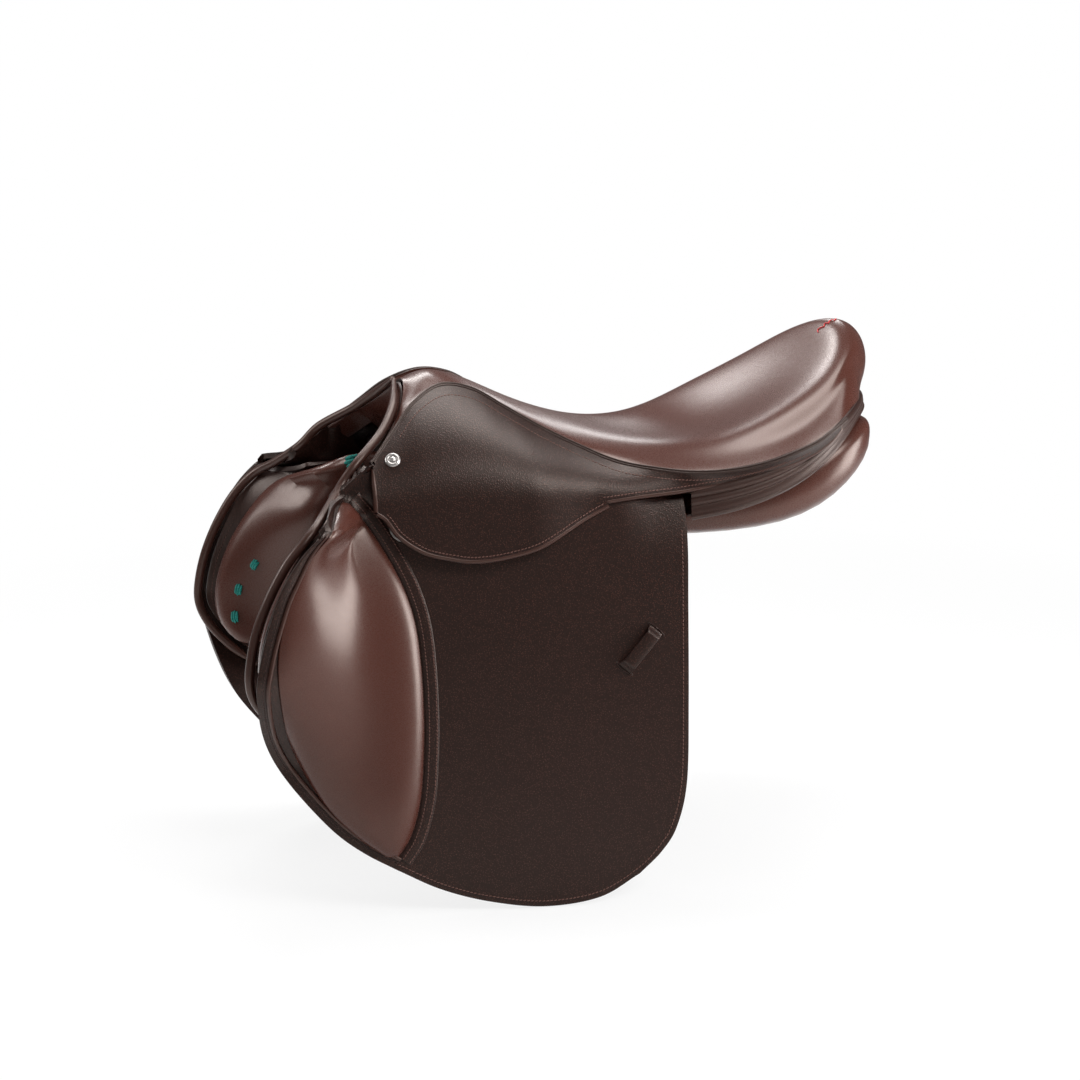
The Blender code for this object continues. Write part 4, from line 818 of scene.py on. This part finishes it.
def pad_grids(side):
    """The knee pad's outer face, crowned between its seams, and its back on the flap."""
    pad = patch((KNEE_PAD_FRONT[0], KNEE_PAD_REAR[0]), (KNEE_PAD_FRONT[-1], KNEE_PAD_REAR[-1]),
                KNEE_PAD_FRONT, KNEE_PAD_REAR, shares(PAD_COLUMNS), shares(PAD_ROWS))
    flat = [[flap_point(p.x, p.y, side) for p in line] for line in pad]
    base = [[a.lerp(b, smooth((i - 5) / 14)) for a, b in zip(*lines)]
            for i, lines in enumerate(zip(flat, eased(flat, EASING)))]
    normals = grid_normals(base)
    outer, inner = [], []
    for i, line in enumerate(pad):
        v = 2 * i / (len(pad) - 1) - 1
        end = (1 - abs(v) ** 7) ** 0.75 if v > 0 else (1 - abs(v) ** 2.6) ** 0.9
        top, low = [], []
        for j, p in enumerate(line):
            u = 2 * j / (len(line) - 1) - 1
            rise = (1 - abs(u) ** (3.4 - 1.2 * smooth(-v * 1.6 - 0.5))) ** 0.75 * end
            out = normals[i][j] if normals[i][j].y * side > 0 else -normals[i][j]
            top.append(base[i][j] + out * (1.2 + PAD_RISE * rise))
            low.append(flap_point(p.x, p.y, side, 0.3))
        outer.append(top)
        inner.append(low)
    return outer, inner


def puffed(obj, held, pressure, cap, steps=20):
    """Lets a closed pad swell as cloth; held points stay and no point moves past the cap."""
    group = obj.vertex_groups.new(name="held")
    group.add(held, 1.0, "REPLACE")
    count = len(obj.data.vertices)
    before = np.empty(count * 3)
    obj.data.vertices.foreach_get("co", before)
    cloth = obj.modifiers.new("cloth", "CLOTH")
    settings = cloth.settings
    settings.vertex_group_mass = group.name
    settings.use_pressure = True
    settings.uniform_pressure_force = pressure
    settings.effector_weights.gravity = 0.0
    settings.quality = 6
    settings.tension_stiffness = settings.compression_stiffness = settings.shear_stiffness = 12
    settings.bending_stiffness = 4.0
    cloth.point_cache.frame_start, cloth.point_cache.frame_end = 1, steps
    for step in range(1, steps + 1):
        bpy.context.scene.frame_set(step)
    applied(obj)
    bpy.context.scene.frame_set(1)
    after = np.empty(count * 3)
    obj.data.vertices.foreach_get("co", after)
    move = (after - before).reshape(-1, 3)
    length = np.linalg.norm(move, axis=1, keepdims=True)
    move *= np.minimum(1, cap * MM / np.maximum(length, 1e-9))
    edges = np.empty(len(obj.data.edges) * 2, int)
    obj.data.edges.foreach_get("vertices", edges)
    a, b = edges.reshape(-1, 2).T
    ties = np.bincount(a, minlength=count) + np.bincount(b, minlength=count)
    for _ in range(24):
        move[held] = 0
        total = np.zeros_like(move)
        np.add.at(total, a, move[b])
        np.add.at(total, b, move[a])
        move = 0.5 * move + 0.5 * total / ties[:, None]
    move[held] = 0
    obj.data.vertices.foreach_set("co", (before.reshape(-1, 3) + move).ravel())
    obj.data.update()
    obj.vertex_groups.clear()
    return obj


def subdivided(obj):
    modifier = obj.modifiers.new("subdivision", "SUBSURF")
    modifier.levels = modifier.render_levels = 1
    applied(obj)
    obj.data.shade_smooth()
    return obj


def build_knee_pad(side, word):
    shape = Shape()
    shape.slab(*pad_grids(side))
    pad = finished(f"knee_pad_leather_{word}", shape, [CALF])
    rows, columns = PAD_ROWS, PAD_COLUMNS
    held = [i * columns + j for i in range(rows) for j in range(columns)
            if i < PAD_FLAT_TOP or i >= rows - PAD_FLAT_END or j in (0, columns - 1)]
    puffed(pad, held + list(range(rows * columns, 2 * rows * columns)), 3.0, 2.0)
    subdivided(pad)
    placed(pad, ("saddle", f"flap_{word}", *FLAP_FOLD), (f"knee_pad_{word}",))


def plane_frame(x, z, side, offset, turn=0.0):
    """A frame on the flat middle of the flap: Y runs up it and Z outwards."""
    here = layer(x, z, side, offset)
    along = layer(x + 10, z, side, offset) - here
    up = (layer(x, z + 10, side, offset) - here).normalized()
    out = along.cross(up).normalized() * -side
    if out.y * side < 0:
        out.negate()
    along = up.cross(out)
    base = Matrix((along, up, out)).transposed().to_4x4()
    return Matrix.Translation(here) @ base @ Matrix.Rotation(turn, 4, "Z")


def build_keeper(side, word):
    """The raised loop with the two slits that its ends go through."""
    at = plane_frame(KEEPER_X, KEEPER_Z, side, 0.0, -side * math.radians(KEEPER_TURN))
    upper = []
    for i in range(41):
        t = 2 * i / 40 - 1
        rise = 5.0 * smooth((1 - abs(t)) * 3.4) + 2.2
        half = 7.0 - 0.8 * smooth((1 - abs(t)) * 3)
        upper.append([at @ Vector((t * 21.5, half * w, rise - 0.7 * abs(w) ** 3)) for w in
                      (-1, -0.8, -0.5, 0, 0.5, 0.8, 1)])
    loop = sheet(f"keeper_{word}", upper, 2.0, (GRAIN, DYE), (0, side, 0), rim=0.7)
    placed(loop, f"flap_{word}", (f"flap_keeper_{word}",))

    def oval(end, wide, height):
        return [at @ Vector((end * 21.4 + wide * math.cos(a), 8.6 * math.sin(a), height))
                for a in circle(24)]

    slits = Shape()
    for end in (-1, 1):
        slits.tube(oval(end, 1.2, 0.15), 0.75, 8, closed=True)
        slits.skin([oval(end, 1.5, h) for h in (-0.4, 0.25)], 1)
    placed(finished(f"keeper_slits_{word}", slits, [GRAIN, DYE]), f"flap_{word}")
    out = (at.to_3x3() @ Vector((0, 0, 1))).normalized()
    rows = [([(at @ Vector((end * 17.8, w, 3.3)), out) for w in (-5.4, 0, 5.4)], 2.4, 0.4)
            for end in (-1, 1)]
    sewn(f"keeper_stitching_{word}", f"flap_{word}", DARK_THREAD, *rows)


def skirt_columns():
    """The lobe's edge below the fold line, and the x of the columns behind it."""
    lobe = spline([(x, min(z, FOLD_Z)) for x, z in SKIRT_LOBE], shares(90))
    lobe = [p for p in lobe if p.y < FOLD_Z - 0.9]
    return lobe, [-17 + 4.0 * k for k in range(int((SKIRT_LINE[-1].x + 16) / 4))]


def build_skirt(side, word):
    """The skirt: a part up to the welt and the lobe over the stirrup bar, both placed fixed."""
    lobe, behind = skirt_columns()
    lift = (f"flap_{word}", f"skirt_{word}", *LOBE_FOLD)
    fold = ("saddle", f"flap_{word}", *STRIP_FOLD)
    grid = [[skirt_point(p.x, FOLD_Z + (p.y - FOLD_Z) * v, side) for v in shares(22)] for p in lobe]
    piece = sheet(f"skirt_lobe_{word}", grid, SKIRT_LEATHER, (GRAIN, DYE), (0, side, 0), rim=0)
    placed(piece, lift, (f"skirt_{word}",))
    grid = []
    for x in [*[p.x for p in lobe], *behind]:
        high = skirt_high(x)
        foot = min(FOLD_Z if x < lobe[-1].x + 0.01 else strip_low(x), high - 2.0)
        grid.append([skirt_point(x, foot + (high - foot) * v, side) for v in shares(20)])
    piece = sheet(f"skirt_upper_{word}", grid, SKIRT_LEATHER, (GRAIN, DYE), (0, side, 0), rim=0)
    placed(piece, fold, (f"skirt_top_{word}",))

    edge = [Vector((p.x, p.y)) for p in spline([(x, min(z, FOLD_Z)) for x, z in SKIRT_LOBE], shares(150))]
    roll = Shape()
    roll.tube([skirt_point(p.x, p.y, side, -EDGE_DEPTH) for p in edge if p.y <= FOLD_Z], 2.2, 12)
    placed(finished(f"lobe_edge_{word}", roll, [PIPING], 60), lift)
    roll = Shape()
    corner = np.linspace(skirt_high(SKIRT_FRONT) - 3.5, FOLD_Z, 16)
    taper = [1.0, 1.6, 2.0, *[2.2] * 13]
    roll.tube([skirt_point(SKIRT_FRONT - 0.5, z, side, -EDGE_DEPTH) for z in corner], taper, 12)
    along = np.linspace(-22, 180, 90)
    roll.tube([skirt_point(x, strip_low(x), side, -EDGE_DEPTH) for x in along], 2.1, 12)
    placed(finished(f"strip_edge_{word}", roll, [PIPING], 60), fold)

    lower = [p for p in inset(edge, 3.6) if p.y < FOLD_Z - 1]
    sewn(f"lobe_stitching_{word}", lift, THREAD, (on_face(skirt_point, lower, side), 3.0, 0.42))
    strip = [Vector((x, strip_low(x) + 3.8)) for x in np.linspace(-26, 150, 90)]
    upper = [Vector((x, skirt_high(x) - 6.2 + 0.7 * smooth((x + 60) / 80)))
             for x in np.linspace(-190, 128, 160)]
    sewn(f"skirt_stitching_{word}", fold, THREAD, *((on_face(skirt_point, row, side), 3.0, 0.4)
                                                    for row in (strip, upper)))


def build_nail(side, word):
    """Domed nail with a turned ring."""
    here, out = normal_of(skirt_point, NAIL_X, NAIL_Z, side)
    profile = ((0.0, 1.9), (1.2, 1.85), (2.3, 1.45), (2.9, 0.9), (3.3, 0.95), (3.8, 1.5), (4.6, 1.7),
               (5.5, 1.35), (6.2, 0.7), (6.5, 0.1), (6.3, -0.2), (0.0, -0.2))
    at = Matrix.Translation(here + out * TOUCH) @ out.to_track_quat("Z", "Y").to_matrix().to_4x4()
    rings = [[at @ Vector((r * math.cos(a), r * math.sin(a), h)) for a in circle(48)]
             for r, h in profile[1:-1]]
    shape = Shape()
    shape.skin(rings, tips=[at @ Vector((0, 0, profile[k][1])) for k in (0, -1)])
    placed(finished(f"nail_{word}", shape, [NICKEL]), "saddle", (f"saddle_nail_{word}",))


def roll_line(side):
    """Middle of the roll round the head and down the under flap's front edge."""
    knots = [Vector((x, side * y, z)) for x, y, z in ROLL_HEAD]
    for x, z in SWEAT_FRONT[1:]:
        knots.append(layer(x, z, side, -SWEAT_DEPTH - SWEAT_LEATHER / 2, ROOF_DROP))
    line = spline(knots, shares(150))
    shifted = []
    for k, p in enumerate(line):
        along = (line[min(len(line) - 1, k + 1)] - line[max(0, k - 1)]).normalized()
        ahead = along.cross(Vector((0, side, 0))) * side
        blend = smooth((k - 22) / 28)
        shifted.append(p + ahead.normalized() * ROLL_REACH * blend * (-1 if ahead.x > 0 else 1))
    return shifted


def build_under_flap(side, word):
    """The under flap with its rolled front edge, and the knee block on it."""
    grid = patch((SWEAT_FRONT[0], (-100, 46), SWEAT_REAR[0]), SWEAT_BOTTOM, SWEAT_FRONT, SWEAT_REAR,
                 shares(72, 1.2), shares(72, 1.1))
    face = [[layer(p.x, p.y, side, -SWEAT_DEPTH, ROOF_DROP) for p in line] for line in grid]
    under = sheet(f"under_flap_{word}", face, SWEAT_LEATHER, (UNDER, DYE), (0, side, 0), rim=1.2)
    placed(under, "saddle", (f"sweat_flap_{word}",))
    roll = Shape()
    line = roll_line(side)
    taper = [ROLL_RADIUS * min(1.0, 0.55 + 0.45 * smooth(k / 14), 0.4 + 0.6 * smooth((149 - k) / 10))
             for k in range(150)]
    roll.tube(line, taper, 14)
    placed(finished(f"edge_roll_{word}", roll, [PIPING], 60), "saddle",
           (f"front_roll_{word}",))
    inner = lambda x, z, s: layer(x, z, s, -SWEAT_DEPTH - SWEAT_LEATHER, ROOF_DROP)
    rim = inset(spline(SWEAT_FRONT[1:], shares(160)), 4.5)
    seam = [(p, -n) for p, n in on_face(inner, rim, side)]
    sewn(f"under_stitching_{word}", "saddle", THREAD, (seam, 3.0, 0.4))
    block = Shape()
    outer, low = [], []
    edge = [*SWEAT_FRONT, (-200, -230)]
    for i in range(19):
        z = -4.0 - 172.0 * i / 18
        front = float(np.interp(-z, [-p[1] for p in edge], [p[0] for p in edge])) + 18
        width = 44.0 * math.sin(math.pi * (i + 1.6) / 21.2) ** 0.5
        columns = [front + width * j / 8 for j in range(9)]
        outer.append([layer(x, z, side, -FLAP_LEATHER - 3.0 - 2.2 * abs(2 * j / 8 - 1) ** 3) for j, x in
                      enumerate(columns)])
        low.append([layer(x, z, side, -SWEAT_DEPTH + 3.0, ROOF_DROP) for x in columns])
    block.slab(outer, low)
    piece = subdivided(finished(f"block_{word}", block, [CALF]))
    placed(piece, "saddle", (f"knee_block_{word}",))


# Panels

def panel_section(station, turn, side):
    x, y, z, wide, deep = station
    c, s = math.cos(turn), math.sin(turn)
    round_y = math.copysign(abs(c) ** 0.75, c)
    round_z = math.copysign(abs(s) ** 0.75, s)
    return Vector((x, side * (y + wide * round_y), z + deep * round_z))


def leg_section(station, turn, side):
    x, z, rear_x, rear_z = station
    c, s = math.cos(turn), math.sin(turn)
    half = PANEL_THICKNESS / 2
    inset_by = SWEAT_DEPTH + SWEAT_LEATHER + LEG_ROOM + half
    thick = half * math.copysign(abs(s) ** 0.7, s)
    return layer(x + rear_x * c, z + rear_z * c, side, thick - inset_by, ROOF_DROP)


def panel_rings(side, columns=PANEL_COLUMNS):
    """Sections of a panel, along its body and then down its leg."""
    turns = circle(columns)
    rings = [[panel_section(s, t, side) for t in turns] for s in PANEL_BODY]
    last = PANEL_BODY[-1]
    for k, station in enumerate(spline(PANEL_LEG, shares(LEG_RINGS))):
        weight = float(np.interp(k / (LEG_RINGS - 1), *zip(*LEG_BLEND)))
        moved = (station[0], last[1] + 8, station[1] + 4, last[3], last[4])
        rings.append([panel_section(moved, t, side).lerp(leg_section(station, t, side), weight)
                      for t in turns])
    return rings


def build_panel(side, word):
    rings = panel_rings(side, 28)
    shape = Shape()
    shape.skin(rings, tips=[sum(ring, Vector()) / len(ring) for ring in (rings[0], rings[-1])])
    panel = finished(f"panel_leather_{word}", shape, [CALF])
    subdivided(panel)
    puffed(panel, [], 3.0, 1.8)
    placed(panel, "saddle", (f"panel_{word}",))


def build_laces(side, word):
    """Short woven laces tied through the inner face of the panel's leg."""
    rings = panel_rings(side)
    for number, (along, column, long, high) in enumerate(LACES, 1):
        i, j = len(PANEL_BODY) + int(along), int(column)
        u, v = along - int(along), column - j
        a, b, c, d = rings[i][j], rings[i][j + 1], rings[i + 1][j], rings[i + 1][j + 1]
        here = a.lerp(b, v).lerp(c.lerp(d, v), u)
        down = (c.lerp(d, v) - a.lerp(b, v)).normalized()
        out = (b - a).cross(down).normalized()
        if out.y * side > 0:
            out.negate()
        across = out.cross(down)
        shape = Shape()
        places = [2 * t - 1 for t in shares(15)]
        for strand in (-1, 0, 1):
            shift, reach = strand * high * 0.52, long * (1 - 0.18 * abs(strand))
            line = [here + across * shift + down * reach * t + out * (2.3 * (1 - t ** 4) + 0.5)
                    for t in places]
            shape.tube(line, [high * 0.33 * (1 - 0.45 * abs(t) ** 3) for t in places])
        placed(finished(f"lace_{word}_{number}", shape, [LACE], 60), "saddle",
               (f"panel_lace_{word}_{number}",))


# Head and cantle

HEAD_COLUMNS = 25
HEAD_AHEAD = 5.0  # how far the lining's front stands ahead of the seat's edge


def head_grid():
    """The seat's outer face with its normals, for the leather round the pommel."""
    grid = surface(seat_points(), 3 * len(SEAT_STATIONS) - 2, HEAD_COLUMNS)
    return grid, grid_normals(grid)


def head_rows():
    """Rows of the lining from the pommel's front edge to the arch under the tree and back along it."""
    grid, normals = head_grid()
    arch = SEAT_LEATHER + SEAT_FOAM + WEB + TREE + HEAD_PLATE + LINING + 13 * TOUCH

    def sunk(row, depth, ahead=0.0):
        return [p - n * depth - Vector((ahead, 0, 0)) for p, n in zip(grid[row], normals[row])][4:-4]

    rows = [sunk(0, depth, HEAD_AHEAD) for depth in (4.5, 22.0, arch)]
    for line in (sunk(3, arch), sunk(6, arch)):
        rows.append([line[0].lerp(line[2], 0.6), line[0].lerp(line[2], 0.8), *line[2:-2],
                     line[-1].lerp(line[-3], 0.8), line[-1].lerp(line[-3], 0.6)])
    return rows


def build_head():
    """Leather round the pommel's front edge at each side, and the lining of its arch."""
    grid, normals = head_grid()
    for side, word in SIDES:
        columns = range(0, 7) if side < 0 else range(HEAD_COLUMNS - 7, HEAD_COLUMNS)
        rows = [[grid[0][j] - normals[0][j] * depth - Vector((ahead, 0, 0)) for j in columns]
                for depth, ahead in ((0.6, 1.0), (4.0, 4.0), (12.0, HEAD_AHEAD), (24.0, 4.0))]
        facing = sheet(f"head_side_{word}", surface(rows, 9, 19), 1.8, (CALF, DYE), (-1, 0, 0), rim=0.5)
        placed(facing, "saddle")
    arch = surface(head_rows(), 33, 65)
    lining = sheet("head_arch_lining", arch, LINING, (CALF, DYE), (-1, 0, 0), rim=0.6)
    placed(lining, "saddle", ("head_lining",))


def facing_rows():
    """The facing's upper and lower edges, from the right end round the cantle to the left one."""
    rows = []
    for points in (FACING_UPPER, FACING_LOWER):
        right = [Vector(p) for p in points]
        left = [Vector((p.x, -p.y, p.z)) for p in reversed(right[:-1])]
        line = np.array([list(p) for p in spline([*right, *left], shares(181))])
        for _ in range(80):
            line[1:-1] += 0.25 * (line[:-2] + line[2:] - 2 * line[1:-1])
        rows.append([Vector(p) for p in line])
    return rows


def build_facing():
    """The stitched band that closes the seat's underside, folded into rolls under the skirt's strip."""
    upper, lower = facing_rows()
    ways = []
    for a, b, p, q in zip(upper[:1] + upper[:-1], upper[1:] + upper[-1:], upper, lower):
        out = (b - a).cross(q - p).normalized()
        ways.append(out if out.dot(p - Vector((100, 0, p.z))) > 0 else -out)
    ways = [sum(ways[max(0, k - 4):k + 5], Vector()).normalized() for k in range(len(ways))]
    proud = reader([(t * 100, h) for t, h in FACING_FOLDS])
    grid = [[p.lerp(q, t) + n * proud(t * 100) for p, q, n in zip(upper, lower, ways)] for t in shares(57)]
    band = sheet("cantle_band", grid, 2.0, (UNDER, DYE), (0, 0, -1), rim=0)
    placed(band, "saddle", ("cantle_facing",))
    seam = [(p.lerp(q, FACING_SEAM) + n * proud(FACING_SEAM * 100), n)
            for p, q, n in zip(upper, lower, ways)]
    sewn("cantle_stitching", "saddle", DARK_THREAD, (seam, 3.2, 0.42))


def build_lining():
    """Leather over the tree's underside, from one side of the facing's lower edge to the other."""
    _, lower = facing_rows()
    half = len(lower) // 2
    grid = []
    for k in range(0, half - 2, 3):
        right = lower[k]
        grid.append([Vector((right.x - 3, (right.y - 1.5) * w, right.z + 1.0 + 7.0 * (1 - w * w)))
                     for w in np.linspace(1, -1, 25)])
    lining = sheet("gullet_lining", grid, 1.6, (UNDER, DYE), (0, 0, -1), rim=0)
    placed(lining, "saddle")


def build_tack():
    """A short plain zigzag of red thread on the cantle."""
    shape = Shape()
    normals = grid_normals(SEAT)
    row = lambda x: min(range(len(SEAT)), key=lambda i: abs(SEAT[i][SEAT_COLUMNS // 2].x - x)
                        + (1000 if SEAT[i][SEAT_COLUMNS // 2].z < 150 else 0))
    middle = SEAT_COLUMNS // 2
    places = []
    for k in range(8):
        i = row(213 + 2.6 * k)
        j = middle - 1 + (k % 2)
        p = SEAT[i][j].lerp(SEAT[i][j + 1], 0.5)
        places.append((p, normals[i][j]))
    for (a, n), (b, m) in zip(places, places[1:]):
        line = [a.lerp(b, t) + n * (0.55 * math.sin(math.pi * t) + 0.25) for t in shares(7)]
        shape.tube(line, 0.5, 6)
    placed(finished("cantle_tack", shape, [RED_THREAD]), "saddle")


def build_strap(side, word, x, place):
    """A girth strap with rounded edges and punched holes."""
    at = plane_frame(x, STRAP_PIVOT_Z, side, -FLAP_LEATHER - STRAP_CLEAR)
    half, body = STRAP_WIDTH / 2, STRAP_LENGTH - STRAP_WIDTH / 2
    rows = []
    for k in range(61):
        t = k / 60
        y = half - (half + body) * t
        wide = half
        if y > 0:
            wide = math.sqrt(max(0.4, half * half - y * y))
        elif y < -body + 22:
            wide = half * (0.42 + 0.58 * smooth((y + body) / 22))
        rows.append([at @ Vector((wide * w, y, 0)) for w in (-1, -0.6, -0.2, 0.2, 0.6, 1)])
    strap = sheet(f"strap_{word}_{place}", rows, STRAP_THICKNESS, (UNDER, DYE), (0, side, 0), rim=0.9)
    name = f"strap_{word}_{place}"
    placed(strap, name, (f"girth_strap_{word}_{place}",))
    holes = Shape()
    for k in range(7):
        y = -body + 42 + 24 * k
        holes.skin([[at @ Vector((2.4 * math.cos(a), y + 2.4 * math.sin(a), h)) for a in circle(16)]
                    for h in (-4.15, 0.15)])
    placed(finished(f"strap_holes_{word}_{place}", holes, [DYE]), name)


# Lamps as (name, place, size, power), in metres and watts
LAMPS = (
    ("overhead", (0.02, 0.1, 0.85), (0.8, 0.35), 8),
    ("front", (0.5, -1.02, 0.97), (0.7, 0.45), 13),
    ("front_left", (-1.1, -1.1, 0.8), (1.0, 0.8), 2),
    ("right", (1.3, -0.6, 0.08), (0.6, 0.75), 19),
    ("left", (-1.35, 0.4, 0.65), (0.6, 0.6), 9),
    ("behind", (-0.25, 1.12, 0.9), (0.8, 0.2), 7),
    ("behind_right", (0.62, 1.24, 0.6), (0.24, 0.3), 1.2),
)
LAMP_AIM = Vector((-0.04, 0, -0.05))
WORLD_LEVEL, GLOSSY_SHARE = 0.1, 0.03  # of the white surroundings, and what reflections see more of them
FLOOR_WHITE = 0.8  # share of plain white in the floor near the saddle, to keep its shadow

# Camera: azimuth and elevation in degrees, distance and aim in metres, lens in millimetres
AZIMUTH, ELEVATION, DISTANCE, LENS = -16, 13.8, 2.215, 83.33
CAMERA_AIM = Vector((-0.046, 0, -0.020))


def build_stage():
    """Floor, lights, world and camera."""
    low = CAD_BOX[0].z - 0.0005
    mesh = bpy.data.meshes.new("floor")
    mesh.from_pydata([(-60, -60, low), (60, -60, low), (60, 60, low), (-60, 60, low)], [], [(0, 1, 2, 3)])
    floor = bpy.data.objects.new("floor", mesh)
    bpy.context.scene.collection.objects.link(floor)
    look = Look("floor")
    look.shader.inputs["Base Color"].default_value = (0.93, 0.93, 0.93, 1)
    look.shader.inputs["Roughness"].default_value = 0.9
    white = look.add("Emission", {"Color": (1, 1, 1, 1), "Strength": 1.0})
    away = look.add("VectorMath", {0: look.place}, "Value", operation="LENGTH")
    share = look.mapped(away, FLOOR_WHITE, 1.0, 0.45, 1.3)
    seen = look.add("LightPath", output="Is Camera Ray")
    whole = look.add("Math", {0: seen, 1: share}, operation="MULTIPLY")
    mixed = look.add("MixShader", {0: whole, 1: look.shader.outputs[0], 2: white})
    look.tree.links.new(mixed, look.tree.nodes["Material Output"].inputs["Surface"])
    mesh.materials.append(look.material)

    world = bpy.data.worlds.new("studio")
    bpy.context.scene.world = world
    world.use_nodes = True
    tree = world.node_tree
    back = tree.nodes["Background"]
    back.inputs["Color"].default_value = (1, 1, 1, 1)
    glossy = node(tree, "LightPath", output="Is Glossy Ray")
    mirror = node(tree, "Math", {0: glossy, 1: GLOSSY_SHARE, 2: WORLD_LEVEL}, operation="MULTIPLY_ADD")
    seen = node(tree, "LightPath", output="Is Camera Ray")
    level = node(tree, "Math", {0: seen, 1: mirror}, operation="MAXIMUM")
    tree.links.new(level, back.inputs["Strength"])

    for name, place, size, power in LAMPS:
        lamp = bpy.data.lights.new(name, "AREA")
        lamp.shape = "RECTANGLE"
        lamp.size, lamp.size_y = size
        lamp.energy = power
        holder = bpy.data.objects.new(name, lamp)
        bpy.context.scene.collection.objects.link(holder)
        holder.location = place
        holder.rotation_euler = (LAMP_AIM - Vector(place)).to_track_quat("-Z", "Y").to_euler()

    camera = bpy.data.cameras.new("camera")
    camera.lens = LENS
    camera.sensor_width = 36
    camera.clip_end = 200
    holder = bpy.data.objects.new("camera", camera)
    bpy.context.scene.collection.objects.link(holder)
    turn, rise = math.radians(AZIMUTH), math.radians(ELEVATION)
    away = Vector((math.sin(turn) * math.cos(rise), -math.cos(turn) * math.cos(rise), math.sin(rise)))
    holder.location = CAMERA_AIM + away * DISTANCE
    holder.rotation_euler = (-away).to_track_quat("-Z", "Y").to_euler()
    bpy.context.scene.camera = holder
    bpy.context.scene.view_settings.view_transform = "Standard"


def main():
    dress_nodes()
    build_seat()
    build_head()
    build_facing()
    build_lining()
    build_tack()
    for side, word in SIDES:
        build_welts(side, word)
        build_flap(side, word)
        build_skirt(side, word)
        build_nail(side, word)
        build_under_flap(side, word)
        build_panel(side, word)
        build_laces(side, word)
        for x, place in ((STRAP_X, "front"), (STRAP_X + STRAP_SPACING, "rear")):
            build_strap(side, word, x, place)
    build_stage()


main()
